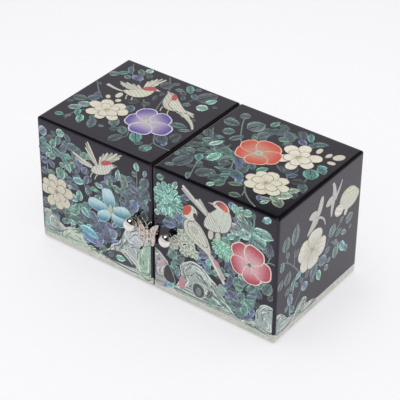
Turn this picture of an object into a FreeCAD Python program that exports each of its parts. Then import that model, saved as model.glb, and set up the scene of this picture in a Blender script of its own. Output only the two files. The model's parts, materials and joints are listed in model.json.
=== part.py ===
import FreeCAD, Part
import math
import os

from FreeCAD import Vector

# A double lacquer box: two cube-shaped casings side by side, hinged to each other at the back of
# the seam between them, so that they open like a book. Each casing is open towards the seam and
# holds two small drawers. A ball knob on each front pulls the halves apart, and a butterfly clasp
# holds them shut.
#
# X runs along the two cubes, the right one on the positive side. The front faces -Y. Z is up and
# starts on the table. The origin is the middle of the whole object's footprint.

# Casings
cube_width = 99.8
cube_depth = 99.5
casing_height = 99.6
seam_gap = 0.4
wall = 6.0
edge_round = 1.7

# Shelf between the two drawer bays of a casing
shelf_thickness = 5.0
shelf_round = 0.8

# Mother-of-pearl band let into the foot of the casing, and the felt under it
band_height = 7.0
band_thickness = 0.8
pad_thickness = 0.6
pad_inset = 3.0
pad_corner = 4.0

# Ball knobs on the two fronts
knob_radius = 4.85
knob_stand = 0.35
knob_neck_radius = 1.9
knob_flange_radius = 2.7
knob_flange_thickness = 0.5
knob_from_seam = 15.0
knob_height = 50.0
spindle_radius = 1.25
spindle_in_knob = 3.6

# Drawers
drawer_recess = 9.0
drawer_clearance = 0.3
drawer_front_thickness = 5.0
drawer_front_round = 0.9
tray_wall = 3.0
tray_bottom = 2.5
tray_headroom = 6.0
lining_thickness = 1.5
lining_gap = 0.2
pull_radius = 3.1
pull_stand = 0.3
pull_neck_radius = 1.3
pull_flange_radius = 2.0
pull_flange_thickness = 0.35
pull_spindle_radius = 0.8
pull_spindle_in_knob = 2.4

# Butt hinges on the back
hinge_from_end = 22.0
hinge_height = 18.0
hinge_leaf_width = 11.5
hinge_leaf_thickness = 0.9
hinge_leaf_corner = 1.6
knuckle_radius = 1.9
knuckle_stand = 0.3
knuckle_gap = 0.25
leaf_to_knuckle = 0.6
hinge_pin_radius = 0.8
hinge_finial_radius = 1.3
hinge_screw_spread = 10.5

# Butterfly clasp on the left front, hooked over the seam
clasp_from_seam = 2.6
clasp_height = 45.0
clasp_axis_out = 2.6
clasp_body_radius = 1.7
clasp_body_top = 5.7
clasp_body_bottom = -5.7
clasp_body_taper = 0.6
clasp_segments = 5
clasp_segment_gap = 0.14
clasp_segment_waist = 0.22
clasp_root_gap = 0.25
clasp_pin_radius = 0.5
clasp_head_radius = 1.25
clasp_tail_radius = 0.8
wing_back = 1.6
wing_thickness = 1.3
wing_field_depth = 0.4
wing_vein_radius = 0.34
antenna_radius = 0.28
antenna_ball_radius = 0.62
antenna_spread = 3.8
antenna_rise = 5.4
# Outline of one wing, from the top of its root round its tip and lower lobe to the foot of its
# root: distance out from the root line, then height above the waist of the butterfly
wing_edge = [
    (0.0, 5.2), (2.9, 9.1), (6.0, 11.7), (7.7, 12.3), (7.8, 11.0), (6.0, 7.3), (5.0, 3.6),
    (4.4, 1.4), (5.0, -0.9), (4.2, -4.4), (2.5, -7.2), (0.9, -6.8), (0.0, -5.1),
]
wing_notch = 7
# Sunk fields of the upper and the lower lobe, and the ends of the veins that cross each of them
wing_fields = [
    [(0.7, 2.2), (0.8, 4.6), (3.3, 8.3), (6.9, 11.3), (5.3, 7.4), (4.4, 3.9), (3.4, 1.9)],
    [(0.7, 0.4), (3.9, 0.0), (4.2, -1.2), (3.5, -4.2), (2.2, -6.3), (0.7, -4.6)],
]
wing_veins = [[(6.3, 10.6), (5.2, 7.3), (4.3, 4.2)], [(3.9, -1.8), (2.5, -5.4)]]
nail_radius = 0.5
nail_head_radius = 0.95
nail_head_height = 0.5
nail_from_root = 2.6
nail_heights = (7.0, -3.4)
stud_radius = 0.9
stud_out = 1.4
stud_dome = 0.3
stud_shank_radius = 0.65
stud_flange_radius = 1.5
stud_flange_thickness = 0.35
stud_from_seam = 3.6
stud_above_waist = 5.0
grip_gap = 0.2
grip_rib = 0.6
grip_rib_length = 3.2
grip_rib_stand = 0.6

# Small screws and fits
screw_radius = 0.7
screw_head_radius = 1.4
screw_slot_width = 0.35
screw_slot_depth = 0.3
screw_land = 1.5
fit_gap = 0.05

# Places that follow from the sizes above
half_seam = seam_gap / 2
outer_x = half_seam + cube_width
front_y = -cube_depth / 2
back_y = cube_depth / 2
floor_z = pad_thickness
top_z = floor_z + casing_height
bay_x = outer_x - wall
bay_y = cube_depth / 2 - wall
bay_floor = floor_z + wall
bay_ceiling = top_z - wall
shelf_z = (bay_floor + bay_ceiling - shelf_thickness) / 2
drawer_x = half_seam + drawer_recess
in_board = wall - screw_land
hinge_y = back_y + knuckle_radius + knuckle_stand
leaf_root = knuckle_radius + leaf_to_knuckle
clasp_y = front_y - clasp_axis_out
wing_root = clasp_body_radius + clasp_root_gap
knob_reach = knob_stand + 2 * knob_radius
hinge_reach = hinge_y + knuckle_radius - back_y
footprint_shift = Vector(0, (knob_reach - hinge_reach) / 2, 0)

FRONT = Vector(0, -1, 0)
BACK = Vector(0, 1, 0)
UP = Vector(0, 0, 1)


def box(x, y, z):
    """A box from its span along each axis."""
    return Part.makeBox(x[1] - x[0], y[1] - y[0], z[1] - z[0], Vector(x[0], y[0], z[0]))


def rod(radius, start, direction, length):
    return Part.makeCylinder(radius, length, start, direction)


def fused(pieces):
    """One solid from pieces that touch or overlap."""
    whole = pieces[0]
    for piece in pieces[1:]:
        whole = whole.fuse(piece)
    return whole.removeSplitter()


def mirrored(shape):
    """The same piece on the other side of the seam."""
    return shape.mirror(Vector(0, 0, 0), Vector(1, 0, 0))


def on_side(side, shape):
    """A piece drawn for the right casing, put on the side that is asked for."""
    return shape if side == "right" else mirrored(shape)


def turned(edges, start, direction):
    """A turned piece: the half section is drawn as radius along X and length along Z."""
    section = Part.Face(Part.Wire(edges))
    solid = section.revolve(Vector(0, 0, 0), UP, 360)
    solid.Placement = FreeCAD.Placement(start, FreeCAD.Rotation(UP, direction))
    return solid


def line(a, b):
    return Part.makeLine(Vector(a[0], 0, a[1]), Vector(b[0], 0, b[1]))


def arc(a, middle, b):
    ends = [Vector(p[0], 0, p[1]) for p in (a, middle, b)]
    return Part.Arc(*ends).toShape()


def dome(radius, foot, height):
    """The curve of a shallow round cap, from its edge to the axis."""
    ball = (radius ** 2 + height ** 2) / (2 * height)
    half_angle = math.asin(radius / ball) / 2
    centre = foot + height - ball
    middle = (ball * math.sin(half_angle), centre + ball * math.cos(half_angle))
    return arc((radius, foot), middle, (0, foot + height))


def edges_along(shape, direction, where):
    """Straight edges that run along a direction and whose middle passes a test."""
    found = []
    for edge in shape.Edges:
        if not isinstance(edge.Curve, Part.Line):
            continue
        along = edge.tangentAt(edge.FirstParameter)
        middle = edge.valueAt((edge.FirstParameter + edge.LastParameter) / 2)
        if abs(abs(along.dot(direction)) - 1) < 1e-6 and where(middle):
            found.append(edge)
    return found


# Ball knobs and pulls

def ball_knob(radius, stand, neck, flange, flange_thickness, bore, depth, start, direction):
    """A ball on a short neck and flange, bored from behind for its spindle."""
    centre = stand + radius
    neck_top = centre - math.sqrt(radius ** 2 - neck ** 2)
    section = [
        line((0, 0), (flange, 0)),
        line((flange, 0), (flange, flange_thickness)),
        line((flange, flange_thickness), (neck, flange_thickness)),
        line((neck, flange_thickness), (neck, neck_top)),
        arc((neck, neck_top), (radius, centre), (0, centre + radius)),
        line((0, centre + radius), (0, 0)),
    ]
    knob = turned(section, start, direction)
    return knob.cut(rod(bore, start, direction, depth))


def front_knob(side):
    start = Vector(knob_from_seam, front_y, knob_height)
    bore = spindle_radius + fit_gap
    knob = ball_knob(knob_radius, knob_stand, knob_neck_radius, knob_flange_radius,
                     knob_flange_thickness, bore, spindle_in_knob + fit_gap, start, FRONT)
    return on_side(side, knob)


def front_knob_spindle(side, gap=0.0):
    """The threaded rod between ball and board, or its hole when a gap is given."""
    start = Vector(knob_from_seam, front_y + in_board + gap, knob_height)
    length = in_board + spindle_in_knob + gap
    return on_side(side, rod(spindle_radius + gap, start, FRONT, length))


# Casings

def casing_outside():
    """The right casing as a plain block with every edge rounded."""
    block = box((half_seam, outer_x), (front_y, back_y), (floor_z, top_z))
    return block.makeFillet(edge_round, block.Edges)


def band_room():
    """The space that the mother-of-pearl band takes round the casing's foot."""
    margin = edge_round + band_thickness
    room = box((half_seam - margin, outer_x + margin), (front_y - margin, back_y + margin),
               (floor_z - margin, floor_z + band_height))
    core = box((half_seam - margin, outer_x - band_thickness),
               (front_y + band_thickness, back_y - band_thickness),
               (floor_z - margin, floor_z + band_height))
    return room.cut(core)


def casing_shell():
    """The right casing's five boards before the mitres part them."""
    inside = box((half_seam - wall, bay_x), (-bay_y, bay_y), (bay_floor, bay_ceiling))
    return casing_outside().cut(inside).cut(band_room())


def mitred(outer_corners, inner_corners):
    """The room of one board, from its outside face to its inside face."""
    loops = []
    for corners in (outer_corners, inner_corners):
        points = [Vector(*corner) for corner in corners]
        loops.append(Part.makePolygon(points + points[:1]))
    return Part.makeLoft(loops, True, True)


def board_rooms():
    """Where each board of the right casing lies, split on the mitres of its corners."""
    low, high = floor_z, top_z
    out = {}
    out["front_board"] = mitred(
        [(half_seam, front_y, low), (outer_x, front_y, low),
         (outer_x, front_y, high), (half_seam, front_y, high)],
        [(half_seam, -bay_y, bay_floor), (bay_x, -bay_y, bay_floor),
         (bay_x, -bay_y, bay_ceiling), (half_seam, -bay_y, bay_ceiling)])
    out["back_board"] = mitred(
        [(half_seam, back_y, low), (outer_x, back_y, low),
         (outer_x, back_y, high), (half_seam, back_y, high)],
        [(half_seam, bay_y, bay_floor), (bay_x, bay_y, bay_floor),
         (bay_x, bay_y, bay_ceiling), (half_seam, bay_y, bay_ceiling)])
    out["bottom_board"] = mitred(
        [(half_seam, front_y, low), (outer_x, front_y, low),
         (outer_x, back_y, low), (half_seam, back_y, low)],
        [(half_seam, -bay_y, bay_floor), (bay_x, -bay_y, bay_floor),
         (bay_x, bay_y, bay_floor), (half_seam, bay_y, bay_floor)])
    out["top_board"] = mitred(
        [(half_seam, front_y, high), (outer_x, front_y, high),
         (outer_x, back_y, high), (half_seam, back_y, high)],
        [(half_seam, -bay_y, bay_ceiling), (bay_x, -bay_y, bay_ceiling),
         (bay_x, bay_y, bay_ceiling), (half_seam, bay_y, bay_ceiling)])
    out["outer_board"] = mitred(
        [(outer_x, front_y, low), (outer_x, back_y, low),
         (outer_x, back_y, high), (outer_x, front_y, high)],
        [(bay_x, -bay_y, bay_floor), (bay_x, bay_y, bay_floor),
         (bay_x, bay_y, bay_ceiling), (bay_x, -bay_y, bay_ceiling)])
    return out


def casing_boards(side):
    """The boards of one casing with the holes that its fittings need."""
    shell = casing_shell()
    boards = {}
    for name, room in board_rooms().items():
        boards[name] = on_side(side, shell.common(room))
    holes = [front_knob_spindle(side, fit_gap)]
    if side == "left":
        holes += clasp_nail_rods(fit_gap)
    else:
        holes.append(latch_stud_shank(fit_gap))
    for hole in holes:
        boards["front_board"] = boards["front_board"].cut(hole)
    for screw in hinge_screws(side, fit_gap):
        boards["back_board"] = boards["back_board"].cut(screw)
    return boards


def shelf(side):
    """The board between the bays, its front edge rounded like the casing's rim."""
    board = box((half_seam, bay_x), (-bay_y, bay_y), (shelf_z, shelf_z + shelf_thickness))
    rim = edges_along(board, BACK, lambda p: abs(p.x - half_seam) < 1e-6)
    return on_side(side, board.makeFillet(shelf_round, rim))


def pearl_band(side):
    return on_side(side, casing_outside().common(band_room()))


def felt_pad(side):
    pad = box((half_seam + pad_inset, outer_x - pad_inset),
              (front_y + pad_inset, back_y - pad_inset), (0, pad_thickness))
    return on_side(side, pad.makeFillet(pad_corner, edges_along(pad, UP, lambda p: True)))


# Drawers

def bay_span(level):
    """The lowest and highest point that a drawer may take in its bay."""
    if level == "lower":
        low, high = bay_floor, shelf_z
    else:
        low, high = shelf_z + shelf_thickness, bay_ceiling
    return low + drawer_clearance, high - drawer_clearance


drawer_half_width = bay_y - drawer_clearance
tray_x = drawer_x + drawer_front_thickness
tray_end = bay_x - drawer_clearance


def drawer_front(side, level):
    low, high = bay_span(level)
    front = box((drawer_x, tray_x), (-drawer_half_width, drawer_half_width), (low, high))
    face = [edge for edge in front.Edges if abs(edge.CenterOfMass.x - drawer_x) < 1e-6]
    front = front.makeFillet(drawer_front_round, face)
    front = on_side(side, front)
    return front.cut(pull_spindle(side, level, fit_gap))


def drawer_tray(side, level):
    """Bottom, two sides and back, lower than the front so that fingers reach in."""
    low, high = bay_span(level)
    rim = high - tray_headroom
    width = drawer_half_width
    tray = box((tray_x, tray_end), (-width, width), (low, rim))
    room = box((tray_x - tray_wall, tray_end - tray_wall),
               (-width + tray_wall, width - tray_wall), (low + tray_bottom, high))
    return on_side(side, tray.cut(room))


def drawer_lining(side, level):
    """A velvet-covered card on the tray's bottom."""
    low = bay_span(level)[0] + tray_bottom
    width = drawer_half_width - tray_wall - lining_gap
    card = box((tray_x + lining_gap, tray_end - tray_wall - lining_gap), (-width, width),
               (low, low + lining_thickness))
    return on_side(side, card)


def pull_start(level):
    low, high = bay_span(level)
    return Vector(drawer_x, 0, (low + high) / 2)


def drawer_pull(side, level):
    bore = pull_spindle_radius + fit_gap
    pull = ball_knob(pull_radius, pull_stand, pull_neck_radius, pull_flange_radius,
                     pull_flange_thickness, bore, pull_spindle_in_knob + fit_gap,
                     pull_start(level), Vector(-1, 0, 0))
    return on_side(side, pull)


def pull_spindle(side, level, gap=0.0):
    """The screw that holds the pull from inside the drawer, or its hole."""
    start = pull_start(level)
    start.x = tray_x
    length = drawer_front_thickness + pull_spindle_in_knob
    screw = rod(pull_spindle_radius + gap, start, Vector(-1, 0, 0), length)
    head = Part.makeCone(screw_head_radius + gap, pull_spindle_radius + gap,
                         screw_head_radius - pull_spindle_radius, start, Vector(-1, 0, 0))
    screw = fused([screw, head])
    if gap == 0.0:
        slot = box((tray_x - screw_slot_depth, tray_x + screw_slot_depth),
                   (-screw_head_radius, screw_head_radius),
                   (start.z - screw_slot_width / 2, start.z + screw_slot_width / 2))
        screw = screw.cut(slot)
    return on_side(side, screw)


# Hinges

def hinge_centre(level):
    return floor_z + hinge_from_end if level == "lower" else top_z - hinge_from_end


def knuckle_spans(level):
    """Heights of the three knuckles from the bottom: the right leaf has the outer two."""
    low = hinge_centre(level) - hinge_height / 2
    third = hinge_height / 3
    ends = [low, low + third, low + 2 * third, low + hinge_height]
    half = knuckle_gap / 2
    return [(ends[0], ends[1] - half), (ends[1] + half, ends[2] - half), (ends[2] + half, ends[3])]


def screw_places(level):
    middle = (leaf_root + hinge_leaf_width) / 2
    centre = hinge_centre(level)
    return [Vector(middle, back_y, centre + lift)
            for lift in (-hinge_screw_spread / 2, hinge_screw_spread / 2)]


def hinge_leaf(side, level):
    """A flat leaf with rounded outer corners, rolled into its knuckles at the seam."""
    centre = hinge_centre(level)
    face = (back_y, back_y + hinge_leaf_thickness)
    plate = box((leaf_root, hinge_leaf_width), face,
                (centre - hinge_height / 2, centre + hinge_height / 2))
    outer = edges_along(plate, BACK, lambda p: p.x > hinge_leaf_width - 1e-6)
    pieces = [plate.makeFillet(hinge_leaf_corner, outer)]
    spans = knuckle_spans(level)
    own = [spans[0], spans[2]] if side == "right" else [spans[1]]
    for low, high in own:
        pieces.append(box((0, leaf_root), face, (low, high)))
        pieces.append(rod(knuckle_radius, Vector(0, hinge_y, low), UP, high - low))
    leaf = fused(pieces)
    bore = rod(hinge_pin_radius + fit_gap, Vector(0, hinge_y, centre - hinge_height), UP,
               2 * hinge_height)
    leaf = on_side(side, leaf.cut(bore))
    for screw in hinge_screws(side, fit_gap):
        leaf = leaf.cut(screw)
    return leaf


def hinge_screws(side, gap=0.0):
    """Countersunk screws of both hinges on one casing, or their holes."""
    screws = []
    for level in ("lower", "upper"):
        for place in screw_places(level):
            head = place + BACK * hinge_leaf_thickness
            inward = FRONT
            shank = rod(screw_radius + gap, head, inward, hinge_leaf_thickness + in_board + gap)
            cone = Part.makeCone(screw_head_radius + gap, screw_radius + gap,
                                 screw_head_radius - screw_radius, head, inward)
            screw = fused([shank, cone])
            if gap == 0.0:
                slot = box((head.x - screw_head_radius, head.x + screw_head_radius),
                           (head.y - screw_slot_depth, head.y + screw_slot_depth),
                           (head.z - screw_slot_width / 2, head.z + screw_slot_width / 2))
                screw = screw.cut(slot)
            screws.append(on_side(side, screw))
    return screws


def hinge_pin(level):
    """A pin with a round finial on each end."""
    low = hinge_centre(level) - hinge_height / 2
    pin = rod(hinge_pin_radius, Vector(0, hinge_y, low), UP, hinge_height)
    foot = Part.makeSphere(hinge_finial_radius, Vector(0, hinge_y, low), UP, -90, 0, 360)
    cap = Part.makeSphere(hinge_finial_radius, Vector(0, hinge_y, low + hinge_height), UP,
                          0, 90, 360)
    return fused([foot, pin, cap])


# Butterfly clasp

def clasp_point(out, height):
    """A point in the plane of the clasp's pin, out from the pin towards the right."""
    return Vector(out - clasp_from_seam, clasp_y, clasp_height + height)


def mirrored_in_clasp(shape):
    return shape.mirror(clasp_point(0, 0), Vector(1, 0, 0))


def segment_spans():
    """Heights of the body's segments from the head down."""
    length = (clasp_body_top - clasp_body_bottom) / clasp_segments
    half = clasp_segment_gap / 2
    return [(clasp_body_top - (i + 1) * length + half, clasp_body_top - i * length - half)
            for i in range(clasp_segments)]


def segment(index):
    """One bulged ring of the butterfly's body. The rings get thinner towards the tail."""
    low, high = segment_spans()[index]
    radius = clasp_body_radius - clasp_body_taper * index / (clasp_segments - 1)
    end = radius - clasp_segment_waist
    bore = clasp_pin_radius + fit_gap
    section = [
        line((bore, low), (end, low)),
        arc((end, low), (radius, (low + high) / 2), (end, high)),
        line((end, high), (bore, high)),
        line((bore, high), (bore, low)),
    ]
    return turned(section, clasp_point(0, 0), UP)


def wing_point(place, out_of_board):
    """A point of the right wing, by its place in the outline and its distance from the board."""
    point = clasp_point(wing_root + place[0], place[1])
    point.y = front_y - out_of_board
    return point


def wing_curve(places, out_of_board, closed=False):
    spline = Part.BSplineCurve()
    points = [wing_point(place, out_of_board) for place in places]
    spline.interpolate(Points=points, PeriodicFlag=closed)
    return spline.toShape()


def wing_plate(back):
    """One wing: a plate with two sunk fields, crossed by veins that fan out from the waist."""
    top = wing_back + wing_thickness
    upper = wing_curve(wing_edge[:wing_notch + 1], back)
    lower = wing_curve(wing_edge[wing_notch:], back)
    root = Part.makeLine(wing_point(wing_edge[-1], back), wing_point(wing_edge[0], back))
    plate = Part.Face(Part.Wire([upper, lower, root])).extrude(FRONT * (top - back))
    floor = top - wing_field_depth
    waist = wing_point((0, 1.0), floor)
    veins = []
    for field, tips in zip(wing_fields, wing_veins):
        outline = Part.Wire([wing_curve(field, floor, closed=True)])
        room = Part.Face(outline).extrude(FRONT * 2 * wing_field_depth)
        plate = plate.cut(room)
        for tip in tips:
            along = wing_point(tip, floor) - waist
            vein = Part.makeCone(wing_vein_radius, wing_vein_radius / 2, along.Length,
                                 waist, along)
            veins.append(vein.common(room))
    return fused([plate] + veins)


def wing_arm(index):
    """The bridge between the wing's plate and one of its own segments."""
    low, high = segment_spans()[index]
    return box((-clasp_from_seam, wing_root - clasp_from_seam),
               (front_y - wing_back - wing_thickness, front_y - wing_back),
               (clasp_height + low, clasp_height + high))


def clasp_wing(indexes, back):
    """A wing with its arms and segments, drawn to the right of the pin."""
    arms = [wing_arm(i) for i in indexes]
    rings = [segment(i) for i in indexes]
    wing = fused([wing_plate(back)] + arms + rings)
    bore = rod(clasp_pin_radius + fit_gap, clasp_point(0, 2 * clasp_body_bottom), UP,
               4 * clasp_body_top)
    return wing.cut(bore)


def clasp_fixed_wing():
    """The left wing stands on the lacquer and is nailed to the left front."""
    wing = mirrored_in_clasp(clasp_wing(range(0, clasp_segments, 2), 0.0))
    for nail in clasp_nail_rods(fit_gap):
        wing = wing.cut(nail)
    return wing


def clasp_moving_wing():
    """The right wing stands off the lacquer and grips the stud between two ribs behind it."""
    pieces = [clasp_wing(range(1, clasp_segments, 2), wing_back)]
    for sign in (1, -1):
        near = stud_radius + grip_gap
        ends = sorted((sign * near, sign * (near + grip_rib)))
        pieces.append(box((stud_from_seam - grip_rib_length / 2,
                           stud_from_seam + grip_rib_length / 2),
                          (front_y - wing_back, front_y - grip_rib_stand),
                          (stud_height() + ends[0], stud_height() + ends[1])))
    return fused(pieces)


def clasp_nail_places():
    return [clasp_point(-wing_root - nail_from_root, up) for up in nail_heights]


def clasp_nail_rods(gap=0.0):
    """The shanks of the two nails through the fixed wing, or their holes."""
    rods = []
    for place in clasp_nail_places():
        start = Vector(place.x, front_y + in_board + gap, place.z)
        length = in_board + gap + wing_back + wing_thickness
        rods.append(rod(nail_radius + gap, start, FRONT, length))
    return rods


def clasp_nails():
    """Two nails with low round heads."""
    nails = []
    for place, shank in zip(clasp_nail_places(), clasp_nail_rods()):
        seat = Vector(place.x, front_y - wing_back - wing_thickness, place.z)
        section = [
            line((0, 0), (nail_head_radius, 0)),
            dome(nail_head_radius, 0, nail_head_height),
            line((0, nail_head_height), (0, 0)),
        ]
        nails.append(fused([shank, turned(section, seat, FRONT)]))
    return nails


def antenna(sign):
    """A feeler that bows outwards from the head to a small ball."""
    root_height = clasp_body_top + clasp_head_radius
    root = clasp_point(0, root_height)
    tip = clasp_point(sign * antenna_spread, root_height + antenna_rise)
    bow = clasp_point(sign * antenna_spread * 0.36, root_height + antenna_rise * 0.58)
    path = Part.Wire(Part.Arc(root, bow, tip).toShape())
    start = path.Edges[0].tangentAt(path.Edges[0].FirstParameter)
    ring = Part.Wire(Part.makeCircle(antenna_radius, root, start))
    feeler = path.makePipeShell([ring], True, False)
    return [feeler, Part.makeSphere(antenna_ball_radius, tip)]


def clasp_pin():
    """The pin through the body, with the butterfly's head and feelers on top."""
    foot = clasp_body_bottom + clasp_segment_gap / 2
    shaft = rod(clasp_pin_radius, clasp_point(0, foot), UP, clasp_body_top - foot)
    head = Part.makeSphere(clasp_head_radius, clasp_point(0, clasp_body_top + clasp_head_radius))
    neck_height = clasp_body_top - clasp_segment_gap / 2
    neck = rod(clasp_pin_radius * 1.6, clasp_point(0, neck_height), UP, clasp_head_radius)
    tail = Part.makeSphere(clasp_tail_radius, clasp_point(0, foot), UP, -90, 0, 360)
    return fused([shaft, neck, head, tail] + antenna(1) + antenna(-1))


def stud_height():
    return clasp_height + stud_above_waist


def latch_stud_shank(gap=0.0):
    start = Vector(stud_from_seam, front_y + in_board + gap, stud_height())
    return rod(stud_shank_radius + gap, start, FRONT, in_board + gap)


def latch_stud():
    """The round stud on the right front that the moving wing grips."""
    section = [
        line((0, 0), (stud_flange_radius, 0)),
        line((stud_flange_radius, 0), (stud_flange_radius, stud_flange_thickness)),
        line((stud_flange_radius, stud_flange_thickness), (stud_radius, stud_flange_thickness)),
        line((stud_radius, stud_flange_thickness), (stud_radius, stud_out - stud_dome)),
        dome(stud_radius, stud_out - stud_dome, stud_dome),
        line((0, stud_out), (0, 0)),
    ]
    place = Vector(stud_from_seam, front_y, stud_height())
    return fused([turned(section, place, FRONT), latch_stud_shank()])


def all_pieces():
    """Every node of the object by name."""
    pieces = {}
    for side in ("left", "right"):
        for name, board in casing_boards(side).items():
            pieces[f"{side}_{name}"] = board
        pieces[f"{side}_shelf"] = shelf(side)
        pieces[f"{side}_pearl_band"] = pearl_band(side)
        pieces[f"{side}_felt_pad"] = felt_pad(side)
        pieces[f"{side}_ball_knob"] = front_knob(side)
        pieces[f"{side}_knob_spindle"] = front_knob_spindle(side)
        pieces[f"{side}_hinge_screws"] = Part.makeCompound(hinge_screws(side))
        for level in ("upper", "lower"):
            pieces[f"{level}_hinge_{side}_leaf"] = hinge_leaf(side, level)
            drawer = f"{side}_{level}_drawer"
            pieces[f"{drawer}_front"] = drawer_front(side, level)
            pieces[f"{drawer}_tray"] = drawer_tray(side, level)
            pieces[f"{drawer}_lining"] = drawer_lining(side, level)
            pieces[f"{drawer}_pull"] = drawer_pull(side, level)
            pieces[f"{drawer}_spindle"] = pull_spindle(side, level)
    for level in ("upper", "lower"):
        pieces[f"{level}_hinge_pin"] = hinge_pin(level)
    pieces["clasp_fixed_wing"] = clasp_fixed_wing()
    pieces["clasp_moving_wing"] = clasp_moving_wing()
    pieces["clasp_pin"] = clasp_pin()
    pieces["clasp_nails"] = Part.makeCompound(clasp_nails())
    pieces["latch_stud"] = latch_stud()
    return pieces


os.makedirs("parts", exist_ok=True)
for name, piece in all_pieces().items():
    piece.translate(footprint_shift)
    piece.exportStep(f"parts/{name}.step")
    print(f"{name}: {len(piece.Solids)} solid, {piece.Volume:.1f} mm3")
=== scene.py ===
import collections
import json
import math
import random

import bpy
from mathutils import Matrix, Vector

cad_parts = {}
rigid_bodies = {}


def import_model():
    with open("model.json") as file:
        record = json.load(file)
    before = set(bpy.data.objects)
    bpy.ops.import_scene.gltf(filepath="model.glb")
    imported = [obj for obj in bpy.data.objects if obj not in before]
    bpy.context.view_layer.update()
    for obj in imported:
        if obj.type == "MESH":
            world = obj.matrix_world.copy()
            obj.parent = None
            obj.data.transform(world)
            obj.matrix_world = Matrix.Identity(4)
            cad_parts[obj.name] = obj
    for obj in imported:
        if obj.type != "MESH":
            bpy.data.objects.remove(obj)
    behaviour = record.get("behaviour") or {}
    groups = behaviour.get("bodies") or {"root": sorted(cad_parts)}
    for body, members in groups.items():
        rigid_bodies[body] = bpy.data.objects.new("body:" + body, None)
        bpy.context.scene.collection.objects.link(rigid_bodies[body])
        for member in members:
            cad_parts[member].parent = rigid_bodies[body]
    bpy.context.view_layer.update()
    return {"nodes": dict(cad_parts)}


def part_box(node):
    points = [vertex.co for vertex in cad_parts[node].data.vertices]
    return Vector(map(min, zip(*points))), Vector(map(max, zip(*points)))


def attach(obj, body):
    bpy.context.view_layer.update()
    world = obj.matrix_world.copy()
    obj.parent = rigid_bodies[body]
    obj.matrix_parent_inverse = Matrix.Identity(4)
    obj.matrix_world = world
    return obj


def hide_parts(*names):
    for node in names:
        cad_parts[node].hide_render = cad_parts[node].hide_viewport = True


# Dresses the double lacquer box: black lacquer, mother-of-pearl inlay, metal fittings and the cloth
# inside the drawers and under the feet. Sizes in the lists are millimetres, and mm turns them into
# metres.

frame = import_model()
cad = frame["nodes"]
mm = 0.001


# Helpers for the materials

def linear(code):
    """An sRGB hex colour as the linear RGBA that a shader socket takes."""
    parts = [int(code[i:i + 2], 16) / 255 for i in (1, 3, 5)]
    return tuple(c / 12.92 if c <= 0.04045 else ((c + 0.055) / 1.055) ** 2.4 for c in parts) + (1.0,)


def add(tree, kind, settings=(), sockets=()):
    """One node with its settings, and with its inputs set to values or linked to other sockets."""
    made = tree.nodes.new(kind)
    for name, value in dict(settings).items():
        setattr(made, name, value)
    for key, value in dict(sockets).items():
        if isinstance(value, bpy.types.NodeSocket):
            tree.links.new(value, made.inputs[key])
        else:
            made.inputs[key].default_value = value
    return made


def blank_material(name):
    material = bpy.data.materials.new(name)
    material.use_nodes = True
    material.node_tree.nodes.clear()
    return material, material.node_tree


def finish_material(tree, shader):
    add(tree, "ShaderNodeOutputMaterial", {}, {"Surface": shader.outputs[0]})


def stops(ramp_node, marks):
    """Fills a colour ramp from pairs of place and hex colour."""
    ramp = ramp_node.color_ramp
    while len(ramp.elements) > 1:
        ramp.elements.remove(ramp.elements[-1])
    ramp.elements[0].position = marks[0][0]
    ramp.elements[0].color = linear(marks[0][1])
    for place, code in marks[1:]:
        element = ramp.elements.new(place)
        element.color = linear(code)


# The materials

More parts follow.
